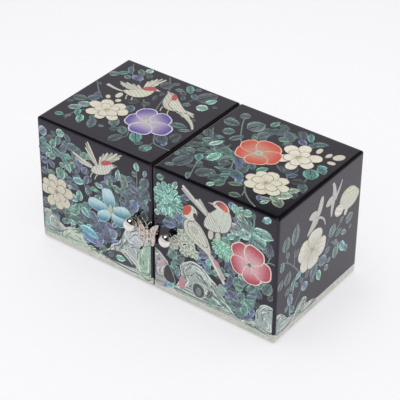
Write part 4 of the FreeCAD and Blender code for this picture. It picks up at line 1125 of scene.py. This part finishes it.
    fill_between(face, [(2, 62, 28, 74), (56, 24, 88, 46), (38, 36, 62, 52), (64, 68, 98, 97),
                        (14, 18, 26, 40), (52, 52, 66, 72), (62, 10, 84, 30)], [(-1, 38, 9, 66),
                                                                                (37, 73, 51, 91),
                                                                                (84, 8, 101, 30),
                                                                                (86, 56, 99, 72),
                                                                                (83, 87, 101, 96),
                                                                                (63, 72, 67, 94)], 120,
                 ("deep", "slate", "navy", "teal", "ash", "violet", "jade", "blue", "mint"), 12, 5.0, 8.5)


# The shell inlay: the tops

def draw_left_top():
    face = "left_top"
    cut_flower(face, 65, 40, [(54.5, 37, 13), (57, 49, 13), (71, 49.5, 14), (78.5, 38.5, 13), (66, 29.5, 15)],
               "#5c469a", "#c9c2b4", "#d9d2e8", "#b7a9bf", 0.16, 0.10, 0.03, 6.5, depth=0.08, dot="#b9bfb0")
    cut_rose(face, 33, 35.5, 14.0, 12.5, "#dcd6c5", 20, squeeze=0.88)
    cut_buds(face, ((27, 56, 7.5, 4.6, 95), (22, 50, 5, 3.4, 130), (31, 50, 4.5, 4, 60)), "#d6d0c0")
    # The flying bird
    cut_fan(face, (36, 71), [(32, 83), (33, 86.5), (35, 89.5), (37.5, 92), (40.5, 92.3), (40, 88),
                             (39.8, 84)], 2.0, ("#cfcdbe", "#b5b3a4"), 0.18)
    cut_fan(face, (37, 69), [(24, 67), (20.5, 67.6), (17.5, 69), (15.7, 71), (20.1, 72.7), (25, 73.8),
                             (28.9, 74.9)], 2.0, ("#c9c6b7", "#b0ad9f"), 0.19)
    cut_strip(face, [(27.5, 62.2, 1.5), (22.2, 61.5, 1.6), (16.6, 61.9, 2.0), (10.9, 62.9, 2.6)], "#cfccc2",
              0.18, 0.05, pitch=1.1, depth=0.4)
    feathers(face, [(24.5, 62.6), (29, 66.5), (34, 72), (39, 77.5), (43, 76.5), (44.5, 70), (42.5, 64),
                    (37, 60), (30, 60)], "#d2d0be", 0.215, 60, 1.6, 0.3, (36, 67), "across")
    cut_patch(face, [(33.6, 72.6), (36, 77), (40, 79.6), (43, 77.5), (42, 74.5), (37.5, 72)], "#b53e4b",
              0.275, 0.0)
    cut_plate(face, [(43.0, 78.4), (43.4, 75.8), (47.4, 77.2)], "#c9c2b0", 0.22, 0.0)
    cut_eye(face, 41.6, 76.6, 1.0, 0.26)
    cut_legs(face, [(31, 60.5, 34, 54.5), (36, 60, 38, 56)])
    # The perched bird
    cut_strip(face, [(69, 66, 6.0), (77, 63, 4.0), (84, 60, 3.0), (90, 56, 2.2), (94.5, 51, 1.4)], "#cfcdc2",
              0.18, 0.05, pitch=1.1, depth=0.55)
    cut_fan(face, (68, 67), [(84, 66.5), (86, 64), (84, 61.5), (80, 60)], 2.4, ("#cdcbc0", "#b1afa3"), 0.17)
    feathers(face, [(52, 80), (56, 81), (60.5, 79), (64, 76), (70, 72), (75, 67.5), (74, 63.5), (68, 61),
                    (62.5, 61.5), (57, 66), (54, 72)], "#c3c2b2", 0.19, -35, 1.7, 0.25, (64, 70))
    feathers(face, [(60, 73), (66, 73.5), (72, 70), (79, 65.5), (76, 63.5), (69, 63.5), (62, 66.5)],
             "#d8d5c6", 0.215, -28, 1.1, 0.55, (68, 68.5))
    cut_patch(face, [(56.5, 79.8), (59.5, 79.8), (62.5, 76), (61.5, 72.8), (58.5, 74.5)], "#b5434c", 0.215,
              0.0)
    cut_plate(face, [(52.6, 80.6), (53.0, 78.6), (50.2, 80.6)], "#c9c2b0", 0.2, 0.0)
    cut_eye(face, 55.2, 79.0, 1.0, 0.23)
    cut_legs(face, [(60.5, 62.5, 62.5, 56.8), (66.5, 61.5, 69, 56.5)])
    cut_stems(face, (
        [(2, 62, 0.8), (12, 52, 0.9), (20, 46, 0.9)], [(44, 62, 0.9), (50, 55, 0.9), (54, 50, 0.8)],
        [(40, 97, 0.8), (50, 84, 0.8), (56, 66, 0.8), (60, 54, 0.9)],
        [(78, 31, 0.9), (84, 22.5, 1.1), (91, 21, 1.0), (98, 21.5, 0.8)],
        [(8, 96, 0.8), (14, 87, 0.8), (22, 79, 0.7)], [(24, 95, 0.8), (24, 86, 0.7), (28, 78, 0.6)],
        [(60, 26, 0.9), (64, 18, 0.8), (60, 10, 0.7)], [(20, 27, 0.9), (16, 18, 0.8), (17, 10, 0.7)],
        [(84, 22, 0.8), (82, 14, 0.7)], [(70, 74, 0.7), (72, 82, 0.7), (78, 92, 0.7)]), "#6c7673", 0.2)
    set_leaf_list(face, [
        (23.5, 95, 7, 6, 100, "#b8c9c4"), (12, 88, 12, 5, -50, "slate"), (10, 82, 9, 5, 45, "teal"),
        (5.5, 77, 8, 7, 30, "smoke"), (16, 79, 7, 5, -30, "smoke"), (22.5, 82.5, 8, 10, 90, "violet"),
        (20, 90, 10, 5, -45, "#66807d"), (28, 89, 7, 5, -60, "ash"), (45.5, 86.5, 11, 10, 60, "#575a66"),
        (62, 92, 12, 6, -50, "teal"), (56.5, 87, 7, 4.5, 10, "smoke"), (78, 90, 17, 14, 60, "#5b5e67"),
        (83.5, 87.5, 9, 6, 60, "mint"), (83, 77.5, 9, 8.5, 20, "#b4ccc0"), (70, 86, 8, 5, -40, "slate"),
        (72, 74.5, 6, 5, 20, "smoke"), (61, 85, 8, 5, -40, "#4b5067"), (65, 79.5, 7, 4, -60, "ash"),
        (15, 43, 10, 8, 60, "slate"), (13.5, 49, 6, 4, 80, "slate"), (7.5, 37, 11, 8, 15, "#5f6c70"),
        (12.5, 25.5, 10, 7, 30, "#8fa6a4", 1), (15.5, 32.5, 10, 8, 20, "#a4b3b0"),
        (18.5, 21.5, 9, 5, -60, "teal"), (25, 16, 11, 6, -60, "jade"), (35, 16.5, 13, 7, -62, "#62727c", 1),
        (9.5, 12.5, 7, 5, 10, "teal", 1), (16, 14, 7, 3, 60, "smoke"), (44.5, 46.5, 10, 7, -60, "slate"),
        (49, 58, 7, 6, 20, "ash"), (40, 55.5, 9, 8, 20, "#463f4b"), (46.5, 26.5, 13, 8, -50, "#5b7f7c"),
        (57.5, 22, 11, 7, -40, "#527a74"), (70, 20.5, 15, 9, -50, "teal"), (59.5, 12, 12, 8, 75, "ash", 1),
        (42.5, 17.5, 5, 3, 10, "smoke"), (83.5, 14, 10, 8.5, 70, "#57807a"), (85, 15, 6, 4, 60, "jade"),
        (84, 49.5, 13, 7, 10, "#4e7a74"), (85.5, 29, 12, 9, -50, "#3e4c6b"), (89.5, 26, 8, 5, -60, "blue"),
        (91, 37, 10, 8, 80, "#4a4a55"), (91, 47, 9, 4, 30, "smoke"), (94, 33, 6, 4, 70, "ash"),
        (52, 20, 8, 5, 50, "#44575e"), (76, 16, 7, 5, 30, "#476a68"), (5, 30, 6, 4, 60, "ash"),
        (49, 68, 8, 3, -70, "ash"), (88, 61, 5, 3, -40, "ash"), (31, 22, 7, 4, -30, "#4a7a70"),
        (6, 60, 5, 3, -40, "ash"), (50, 75, 7, 3, -80, "ash"), (50, 92, 6, 4, 40, "#686b78"),
        (90, 83, 5, 3, 10, "ash"), (67, 95, 6, 4, 10, "slate")], play=0.5)


def draw_right_top():
    face = "right_top"
    fill_between(face, [(4, 14, 50, 62), (4, 14, 34, 48), (30, 66, 56, 92)],
                 [(34, 44, 60, 70), (58, 12, 90, 44), (20, 4, 30, 12)], 46,
                 ("#5a6f6c", "#4d5f66", "teal", "#475660", "#6f9a8c", "#59727a"), 21, 7.0, 12.0, 0.7)
    cut_flower(face, 46.5, 54.5, [(37, 50, 13), (36, 59.5, 12), (48.5, 65, 17), (57.5, 55, 14), (50, 46, 14)],
               "#d2452d", "#c9c0ac", "#ecc3ae", "#c68873", 0.16, 0.085, 0.02, 6.0, depth=0.08, dot="#9aa892")
    cut_rose(face, 70, 66, 14.0, 12.5, "#e6e0d0", 35, ((6, 0.68), (5, 0.34)))
    cut_rose(face, 70.5, 28.5, 15.0, 13.0, "#e0dac6", 5, ((8, 0.64), (5, 0.36)), squeeze=0.85)
    cut_buds(face, ((91.5, 82, 9, 6.5, 60), (85, 80, 6, 3.6, 80), (91, 73.5, 6, 4, 10), (77, 81, 7, 4, 95)),
             "#d9d0c0", 0.14)
    cut_stems(face, (
        [(14, 84, 0.9), (18, 76, 0.9), (24, 66, 0.9), (30, 58, 0.9)],
        [(4, 62, 0.8), (12, 50, 0.9), (20, 42, 0.9)], [(26, 52, 0.9), (22, 38, 0.9), (14, 26, 0.8)],
        [(58, 24, 1.0), (64, 14, 1.1), (72, 7, 1.1), (80, 3, 0.9)], [(64, 14, 0.8), (66, 8, 0.7)],
        [(70, 50, 0.9), (76, 44, 0.9), (80, 38, 0.8)], [(74, 84, 0.9), (66, 88, 0.8), (58, 93, 0.7)],
        [(36, 42, 0.9), (42, 30, 0.9), (48, 14, 0.8)], [(90, 60, 0.9), (88, 50, 0.9), (92, 36, 0.8)],
        [(84, 76, 0.7), (88, 80, 0.7)], [(20, 24, 0.8), (24, 12, 0.8), (27, 5, 0.7)],
        [(64, 50, 0.8), (70, 47, 0.8), (76, 54, 0.8)]), "#75807a", 0.2)
    set_leaf_list(face, [
        (13, 87, 8, 8, 20, "#6e7478"), (10, 75, 13, 9, 0, "#55716e", 1), (7, 78, 6, 4, 60, "smoke"),
        (15, 64.5, 9, 9, 30, "#5d7b75"), (24, 61, 12, 6, 60, "#667576"), (26.5, 80.5, 14, 14, 60, "#767b82"),
        (36.5, 75, 10, 8, 60, "#657a78"), (34, 68, 6, 4, -20, "#5f9a62"), (39, 70.5, 7, 5, 60, "slate"),
        (5.5, 54.5, 11, 8, -50, "#566070"), (13, 53, 9, 7, -60, "#3b5270"), (17, 48, 12, 5, 60, "#c3dccf"),
        (14.5, 55, 7, 4, 20, "teal"), (7, 38, 10, 7, 20, "#4f5b5c", 1), (28, 43.5, 12, 8, -20, "#587c76"),
        (25.5, 33.5, 13, 8, 80, "mint", 1), (18, 27, 10, 6, -60, "teal"), (33.5, 35.5, 7, 4.5, 60, "#8f6f76"),
        (42, 38, 12, 7, -50, "#56608c"), (46, 34, 7, 4, 20, "violet"), (52, 39, 9, 6, -40, "#457482"),
        (59.5, 40, 9, 6, 60, "jade"), (12, 17.5, 17, 12, 70, "#515f68", 1), (8, 9, 8, 4, 20, "smoke"),
        (31, 14.5, 12, 11, 50, "#5a6467"), (34, 15, 8, 4, 60, "smoke"), (40, 24.5, 8, 5, 40, "#657574"),
        (49.5, 25, 14, 9, -20, "#3f6f84", 1), (44, 20, 8, 5, 40, "teal"), (54.5, 21, 8, 6, -50, "blue"),
        (55.5, 16.5, 11, 5, 25, "#7d8f5a"), (46, 11, 9, 8, 60, "#5d7f74"), (42.5, 6.5, 6, 5, 60, "#b9cbbb"),
        (62, 6, 9, 6, 10, "#5f7365"), (25, 5.5, 9, 4, -60, "smoke"), (22, 22, 6, 4, 10, "smoke"),
        (81.5, 11, 7, 4, 60, "#a8cac4"), (88.5, 15.5, 12, 8, -40, "#8f9178", 1),
        (80, 14, 9, 5, 20, "#a8a588"), (87, 24, 12, 9, 30, "#c9ccb4"), (84.5, 18, 10, 6, -30, "#b4b79b"),
        (89, 32, 10, 6, 50, "#bfc4ab"), (76, 12.5, 7, 4, -60, "violet"), (92, 38, 12, 7, -50, "#566a70"),
        (92, 28, 9, 6, -60, "#4c5560"), (87.5, 54.5, 13, 11, -50, "teal"), (91, 62.5, 10, 7, -40, "#4f8f8a"),
        (89, 66, 7, 4, 20, "cyan"), (75, 50, 12, 8, 60, "#465264", 1), (79, 46, 8, 5, 60, "slate"),
        (69, 48, 8, 4, -50, "ash"), (86, 42, 10, 8, 20, "#423c45"), (73.5, 88, 11, 6, 30, "#4f837e"),
        (64, 90.5, 12, 5, -60, "teal"), (58.5, 90, 12, 6, -60, "#5e5a70"),
        (51.5, 83.5, 14, 8, -40, "#5d6678", 1), (62.5, 83, 9, 6, -30, "violet"),
        (70, 83, 8, 5, 40, "#4c6f78"), (3.8, 47, 5, 4, 60, "ash"), (8, 31, 8, 5, 20, "smoke"),
        (14, 36, 8, 4, 40, "#5d7a72"), (36, 29, 7, 4, 60, "ash"), (30, 26, 9, 6, 20, "#33292d"),
        (36, 82, 7, 4, 40, "ash"), (4, 22, 8, 4, 20, "smoke"), (38, 42, 6, 4, 10, "#6d5f78"),
        (20, 36, 6, 4, 60, "#6f9a8c"), (86, 33, 5, 3, 40, "ash")], play=0.55)


# The shell inlay: the sides and the back

def draw_end(face, shift=0):
    """The magnolia spray of the right end. The left end has the same spray turned over, with other
    colours picked by shift."""
    greens = ["#5f7f80", "#6c6c86", "teal", "slate", "cyan", "#8f8fae", "#6f9a98", "mint"]

    def hue(k):
        return greens[(k + shift) % len(greens)]

    cut_rock(face, [(-1, 6), (-1, 21), (5, 22.5), (11, 18), (15, 13), (22, 12), (24, 6)], "#9fa8a4", 0.08)
    cut_rock(face, [(20, 6), (24, 12), (28, 17), (34, 19), (37.5, 16), (38, 11), (46, 9.5), (50, 6)],
             "#a6afa9", 0.085)
    cut_rock(face, [(26, 9), (29, 13), (33, 15), (35, 11), (31, 8)], "#7f908c", 0.11)
    cut_stems(face, [[(3, 64, 0.9), (12, 60, 1.1), (20, 52, 1.1), (26, 44, 1.2), (30, 30, 1.2),
                      (22, 18, 1.4)]], "#5e5c70", 0.25)
    cut_stems(face, [[(24, 44, 1.0), (20, 32, 1.2), (17, 22, 1.4), (18, 12, 1.6)]], "#8aa4b6", 0.4)
    cut_stems(face, (
        [(58, 46, 0.9), (64, 52, 0.9), (72, 54, 0.9), (80, 60, 0.8)],
        [(64, 46, 0.9), (72, 42, 0.9), (78, 34, 0.8)], [(50, 40, 0.9), (53, 32, 0.8)],
        [(12, 60, 0.8), (10, 70, 0.7)], [(20, 52, 0.8), (20, 66, 0.7)]), "#777f8c", 0.2)
    cut_flower(face, 41.5, 53.5, [(30.5, 58, 14), (33, 46, 11), (44, 63.5, 15), (52, 50.5, 13),
                                  (42.5, 43.5, 12)], "#e2e0d3", "#a49c86", "#9c9684", "#cfc7b8", 0.16, 0.06,
               0.03, 2.6, 3.6, 0.16, beads=5)
    cut_patch(face, [(72, 72), (74, 78), (79, 80.5), (86, 80), (92, 76), (97, 69.5), (92, 63.5), (84, 62.5),
                     (78, 65), (74, 68)], "#d0d0c2", 0.16, 0.03, (83, 71.5), "along", 3.2, 0.14, 25,
              rim="#a9a391", rim_width=0.05)
    cut_plate(face, ellipse(72, 67.5, 12, 9, -30), "#e3e0d4", 0.18, 0.03, lines="along", pitch=3.0, depth=0.3,
              axis=-30, rim="#b5ad98", rim_width=0.06)
    cut_plate(face, ellipse(85, 76, 14, 7, -10), "#d5d6b8", 0.185, 0.03, lines="along", pitch=3.0, depth=0.3,
              axis=-10, rim="#bcb69c", rim_width=0.06)
    cut_plate(face, ellipse(81, 62, 6, 4, 70), "#d6d3c4", 0.17, 0.03)
    # Two small birds
    feathers(face, [(33, 68), (36, 73), (41, 79), (45, 81), (47.5, 77), (45, 72), (39, 69)], "#c4c2bb", 0.18,
             50, 1.3, 0.3)
    feathers(face, [(43, 78), (45.5, 85), (48.5, 91.5), (51.5, 90), (51, 83), (47.5, 77)], "#cbc9c2", 0.2, 65,
             1.1, 0.4)
    feathers(face, [(34.5, 81.5), (38, 84.2), (43, 83.5), (45.5, 79.5), (41, 77), (37, 79)], "#c9c7bf", 0.19,
             -10, 1.1, 0.4)
    cut_strip(face, [(46, 76.5, 2.0), (51, 73.5, 1.5), (54, 70, 1.3), (55.5, 65.5, 0.8)], "#bdbbb4", 0.17,
              0.03)
    cut_strip(face, [(62.5, 68, 1.6), (63, 75, 3.6), (64.5, 83, 5.0), (64.5, 89, 3.6), (62.5, 94.5, 2.0)],
              "#c6c4bd", 0.18, 0.03, pitch=1.2, depth=0.4)
    feathers(face, [(54.5, 80), (57, 84), (62, 85), (64.5, 81.5), (60, 78)], "#c9c7c0", 0.2, -5, 1.1, 0.4)
    cut_strip(face, [(65.5, 80, 4.0), (69, 84, 2.8), (72, 88, 1.8), (73.5, 91.5, 0.8)], "#c2c0b9", 0.19, 0.03,
              pitch=1.1, depth=0.4)
    set_leaf_list(face, [
        (9.5, 76, 12, 9, 80, hue(0)), (20, 78, 17, 9, 80, "#7d7b8c"), (6, 60, 9, 5, 85, hue(2)),
        (5, 46, 9, 6, 60, "#737584"), (13, 47, 12, 8, 70, "#666a7d"), (26, 42, 9, 5, 20, hue(4)),
        (19.5, 38, 11, 5, 70, hue(6)), (13.5, 36, 8, 5, 60, "#6b6e82"), (17, 26.5, 13, 6.5, -75, "#8a90b8"),
        (20.5, 17, 8, 5, -60, hue(2)), (13, 22, 6, 4, 60, hue(6)), (34, 28, 9, 7.5, -50, "#8d9ac2"),
        (36.5, 37, 9, 5, 60, "#5f7074"), (30, 35, 7, 4, -50, hue(3)), (44.5, 34.5, 12, 9, 60, "#67808c"),
        (55, 36.5, 12, 9, -40, "#7577a0"), (51, 26.5, 11, 6, -70, hue(7)), (60, 27.5, 7, 5, -40, "#8686a6"),
        (65, 55, 11, 8.5, 60, "#6f8f90"), (73, 49.5, 9, 5, 20, hue(0)), (80, 45.5, 9, 4.5, -30, "#8e94a6"),
        (86, 54, 10, 8, 20, "#7b7f94"), (71, 35, 12, 8, 80, "#6f9498", 1), (79.5, 34, 13, 6.5, -60, hue(4)),
        (63, 32.5, 6, 4, 10, hue(6)), (84, 30, 8, 5, -60, "#7f86a2"), (70, 43, 7, 4, -30, "#76809a"),
        (43, 28, 7, 4, -60, "#6f7696"), (24, 35, 6, 3, -60, hue(2)), (88, 46, 5, 3, 20, "#717689"),
        (22.5, 62, 8, 4, 70, "#5d5f70"), (12, 66, 7, 4, -50, "#67757c"), (48, 41, 8, 4, -20, "#6a7288"),
        (60, 42, 8, 5, 10, "#70759a"), (76, 58, 6, 3.5, 60, "#7a8090")], play=0.7)


def draw_back(face):
    """A plain spray for the back, which the photograph doesn't show: a rock, one branch with a
    blossom in the manner of the ends, buds and leaves, clear of the hinges."""
    cut_rock(face, [(12, 6), (16, 12), (24, 16), (33, 14), (38, 17), (46, 13), (52, 9), (58, 6)], "#9da8a2",
             0.08)
    cut_rock(face, [(44, 6), (50, 10), (58, 12), (66, 9), (70, 6)], "#a9b1a8", 0.09)
    cut_stems(face, (
        [(30, 12, 1.8), (28, 26, 1.5), (34, 40, 1.3), (46, 50, 1.2), (58, 62, 1.0), (64, 78, 0.8)],
        [(34, 40, 1.0), (24, 50, 0.9), (16, 62, 0.8)], [(46, 50, 1.0), (60, 48, 0.9), (70, 44, 0.8)],
        [(52, 56, 0.9), (46, 68, 0.8), (36, 80, 0.7)], [(28, 26, 0.9), (18, 30, 0.8), (10, 38, 0.7)]),
        "#6b7a80", 0.3)
    cut_rose(face, 44, 54, 14.0, 12.5, "#e3ddcc", 15)
    cut_flower(face, 24, 34, [(17, 36, 9), (23, 41, 9), (31, 36, 9), (28, 28, 9), (19, 28, 9)], "#4f9fae",
               "#cfc0a4", "#c5dbdd", "#d3dde0", 0.15, 0.09, 0.12, 3.6, dot="moss", beads=7)
    cut_buds(face, ((36, 82, 9, 6, 100), (64, 80, 9, 6, 80), (15, 64, 9, 6, 120)), "#dad3c3")
    leaves = []
    chance = random.Random(face)
    for s, t, angle in ((30, 20, 20), (22, 22, 140), (38, 34, -20), (31, 45, 120), (22, 54, 160),
                        (27, 60, 60), (14, 55, 200), (9, 40, 140), (12, 32, 220), (56, 42, -60), (62, 53, 30),
                        (68, 48, 60), (72, 41, -40), (62, 66, 150), (68, 72, 40), (59, 74, 160), (50, 72, 60),
                        (42, 71, 150), (47, 78, 40), (38, 73, 200), (31, 74, 120), (60, 86, 100),
                        (69, 84, 30), (19, 70, 80), (10, 68, 160), (36, 24, 0), (44, 38, -80), (50, 34, -40),
                        (66, 60, 0), (31, 66, 160)):
        leaves.append((s, t, chance.uniform(8, 11), chance.uniform(5, 7), angle,
                       chance.choice(("#5f7f80", "teal", "slate", "jade", "#6c6c86", "cyan", "#67808c"))))
    set_leaf_list(face, leaves, play=0.35)


def draw_drawer(face):
    """A low spray across a drawer's front, open in the middle round the pull."""
    mid = faces[face].tall / 2
    for sign in (-1, 1):
        start = faces[face].width / 2 + sign * 8
        cut_strip(face, [(start, mid - 3, 1.0), (start + sign * 12, mid + 3, 0.9),
                         (start + sign * 24, mid - 1, 0.8), (start + sign * 32, mid + 5, 0.6)], "#6b7a80",
                  0.09, 0.3)
        cs, ct = start + sign * 15, mid + 1
        petals = []
        for k in range(5):
            petals.append((*set_off(cs, ct, 4.4, 0, math.radians(90 + 72 * k)), 6.0))
        cut_flower(face, cs, ct, petals, "#e4dfcf", "#cdbfa8", "#4c4536", "#d3c8b4", 0.14, 0.06, 0.05, 2.6,
                   1.5, 0.2, beads=7)
        rows = []
        for off, up, angle, colour in ((4, -6, 30, "teal"), (7, 6, 60, "slate"), (24, -6, -20, "jade"),
                                       (27, 5, 70, "#67808c"), (22, 8, 100, "cyan"), (31, -3, -30, "violet"),
                                       (33, 8, 30, "teal"), (3, 3, 150, "jade"), (10, -8, -40, "violet")):
            rows.append((start + sign * off, mid + up, 7.5, 4.8, angle if sign > 0 else 180 - angle, colour))
        set_leaf_list(face, rows, play=0.4)


draw_left_front()
draw_right_front()
draw_left_top()
draw_right_top()
draw_end("right_side")
draw_end("left_side", 3)
draw_back("left_back")
draw_back("right_back")
for side in ("left", "right"):
    for level in ("upper", "lower"):
        draw_drawer(f"{side}_{level}_drawer")
set_leaves()
set_figures()


# The finishes of the CAD nodes

finishes = {
    "_board": lacquer, "_shelf": lacquer, "_drawer_front": lacquer,
    "_pearl_band": shell_band, "_ball_knob": nickel, "_drawer_pull": nickel,
    "_knob_spindle": zinc, "_drawer_spindle": zinc, "_hinge_screws": zinc,
    "hinge_left_leaf": hinge_plate, "hinge_right_leaf": hinge_plate, "hinge_pin": hinge_plate,
    "clasp_fixed_wing": rose_silver, "clasp_moving_wing": rose_silver, "clasp_pin": rose_silver,
    "clasp_nails": rose_silver, "latch_stud": rose_silver, "_drawer_tray": stained_wood,
    "_drawer_lining": velvet, "_felt_pad": felt,
}
for name, node in cad.items():
    finish = next(m for ending, m in finishes.items() if name.endswith(ending))
    node.data.materials.clear()
    node.data.materials.append(finish)


# The floor, the light and the camera

def seen_directly(tree):
    """One for the rays of the camera, of mirrors and of glass, which see the white studio."""
    ray = add(tree, "ShaderNodeLightPath")
    seen = add(tree, "ShaderNodeMath", {"operation": "ADD", "use_clamp": True}, {
        0: ray.outputs["Is Camera Ray"], 1: ray.outputs["Is Glossy Ray"]})
    return add(tree, "ShaderNodeMath", {"operation": "ADD", "use_clamp": True}, {
        0: seen.outputs[0], 1: ray.outputs["Is Transmission Ray"]}).outputs[0]


def make_floor():
    """A seamless pale sheet, matt. To the camera and in mirrors it is part white of its own, so that
    the shadow on it stays faint."""
    material, tree = blank_material("matt_studio_sheet")
    place = add(tree, "ShaderNodeTexCoord").outputs["Object"]
    away = add(tree, "ShaderNodeVectorMath", {"operation": "LENGTH"}, {0: place})
    spread = add(tree, "ShaderNodeMapRange", {"interpolation_type": "SMOOTHSTEP"}, {
        "Value": away.outputs["Value"], "From Min": 0.1, "From Max": 0.55})
    tooth = add(tree, "ShaderNodeTexNoise", {}, {"Vector": place, "Scale": 900.0, "Detail": 2.0})
    pale = add(tree, "ShaderNodeMix", {"data_type": "RGBA"}, {
        0: spread.outputs["Result"], 6: linear("#fdfcfe"), 7: linear("#ebeaee")})
    bump = add(tree, "ShaderNodeBump", {}, {
        "Height": tooth.outputs["Fac"], "Strength": 0.1, "Distance": 0.00005})
    shader = add(tree, "ShaderNodeBsdfPrincipled", {}, {
        "Base Color": pale.outputs[2], "Roughness": 0.9, "Specular IOR Level": 0.0,
        "Normal": bump.outputs["Normal"]})
    glow = add(tree, "ShaderNodeEmission", {}, {"Color": linear("#f7f6f9"), "Strength": 1.0})
    share = add(tree, "ShaderNodeMath", {"operation": "MULTIPLY"}, {
        0: seen_directly(tree), 1: 0.55})
    both = add(tree, "ShaderNodeMixShader", {}, {
        0: share.outputs[0], 1: shader.outputs[0], 2: glow.outputs[0]})
    finish_material(tree, both)
    return material


sheet = bpy.data.meshes.new("studio_sheet")
reach = 6.0
under = -0.01 * mm
sheet.from_pydata([(-reach, -reach, under), (reach, -reach, under), (reach, reach, under),
                   (-reach, reach, under)], [], [(0, 1, 2, 3)])
sheet.materials.append(make_floor())
floor = stand("studio_sheet", sheet)

# The studio is white all round to the eye. Reflections show its white walls and, above them, the
# dark ceiling, which draws the black edges of the lacquer and the dark band across the ball knobs.
# Behind the camera the ceiling comes lower towards the right of the picture
world = bpy.data.worlds.new("white_studio")
bpy.context.scene.world = world
world.use_nodes = True
sky = world.node_tree
sky.nodes.clear()
ray = add(sky, "ShaderNodeLightPath")
toward = add(sky, "ShaderNodeTexCoord").outputs["Generated"]
height = add(sky, "ShaderNodeSeparateXYZ", {}, {"Vector": toward})
behind = add(sky, "ShaderNodeVectorMath", {"operation": "DOT_PRODUCT"}, {0: toward, 1: (0.6, -0.8, 0.0)})
aside = add(sky, "ShaderNodeVectorMath", {"operation": "DOT_PRODUCT"}, {0: toward, 1: (0.8, 0.6, 0.0)})
near_half = add(sky, "ShaderNodeMapRange", {"interpolation_type": "SMOOTHSTEP"}, {
    "Value": behind.outputs["Value"], "From Min": -0.2, "From Max": 0.5})
slope = add(sky, "ShaderNodeMath", {"operation": "MULTIPLY_ADD"}, {
    0: aside.outputs["Value"], 1: 0.5, 2: 0.08})
lowered = add(sky, "ShaderNodeMath", {"operation": "MULTIPLY_ADD"}, {
    0: slope.outputs[0], 1: near_half.outputs["Result"], 2: height.outputs["Z"]})
ceiling = add(sky, "ShaderNodeMapRange", {"interpolation_type": "SMOOTHSTEP"}, {
    "Value": lowered.outputs[0], "From Min": 0.560, "From Max": 0.585, "To Min": 0.74, "To Max": 0.03})
mirrored = add(sky, "ShaderNodeMix", {"data_type": "FLOAT"}, {
    0: ray.outputs["Is Glossy Ray"], 2: 1.0, 3: ceiling.outputs["Result"]})
level = add(sky, "ShaderNodeMix", {"data_type": "FLOAT"}, {
    0: seen_directly(sky), 2: 0.86, 3: mirrored.outputs[0]})
# To the right the glossy fittings mirror a brown wall
brown = add(sky, "ShaderNodeMapRange", {"interpolation_type": "SMOOTHSTEP"}, {
    "Value": aside.outputs["Value"], "From Min": 0.35, "From Max": 0.8, "To Min": 0.0, "To Max": 0.9})
walled = add(sky, "ShaderNodeMath", {"operation": "MULTIPLY"}, {
    0: brown.outputs["Result"], 1: ray.outputs["Is Glossy Ray"]})
white = add(sky, "ShaderNodeBackground", {}, {
    "Color": (1.0, 1.0, 1.0, 1.0), "Strength": level.outputs[0]})
wall = add(sky, "ShaderNodeBackground", {}, {"Color": linear("#857b67"), "Strength": 1.0})
glow = add(sky, "ShaderNodeMixShader", {}, {0: walled.outputs[0], 1: white.outputs[0], 2: wall.outputs[0]})
add(sky, "ShaderNodeOutputWorld", {}, {"Surface": glow.outputs[0]})

# One wide soft lamp almost straight above the table, a little to the left
lamp = bpy.data.lights.new("soft_box", "SUN")
lamp.energy = 0.62
lamp.angle = math.radians(34)
lamp_at = stand("soft_box", lamp)
lamp_from = Vector((-0.13, -0.05, 0.98)).normalized()
lamp_at.rotation_euler = lamp_from.to_track_quat("Z", "Y").to_euler()

# The camera, solved from ten corners of the box in the photograph, then moved by about a pixel and
# drawn back by 0.8 percent so that the rounded edges meet the outline
azimuth, elevation, roll = math.radians(36.60), math.radians(34.93), math.radians(0.445)
back = Vector((math.sin(azimuth) * math.cos(elevation), -math.cos(azimuth) * math.cos(elevation),
               math.sin(elevation)))
right = Vector((math.cos(azimuth), math.sin(azimuth), 0.0))
up = back.cross(right)
right, up = (math.cos(roll) * right + math.sin(roll) * up, math.cos(roll) * up - math.sin(roll) * right)
box_middle = Vector((0.0, 2.975, 50.13))
to_right, upwards, distance = 1.69, -3.68, 1058.25
spot = box_middle + to_right * right + upwards * up + distance * back
lens = bpy.data.cameras.new("camera")
lens.sensor_width = 36.0
lens.lens = 138.42
lens.clip_start = 0.05
camera = stand("camera", lens)
camera.matrix_world = Matrix((
    (right.x, up.x, back.x, spot.x * mm),
    (right.y, up.y, back.y, spot.y * mm),
    (right.z, up.z, back.z, spot.z * mm),
    (0.0, 0.0, 0.0, 1.0)))
bpy.context.scene.camera = camera
bpy.context.scene.view_settings.view_transform = "Standard"

bpy.context.view_layer.update()
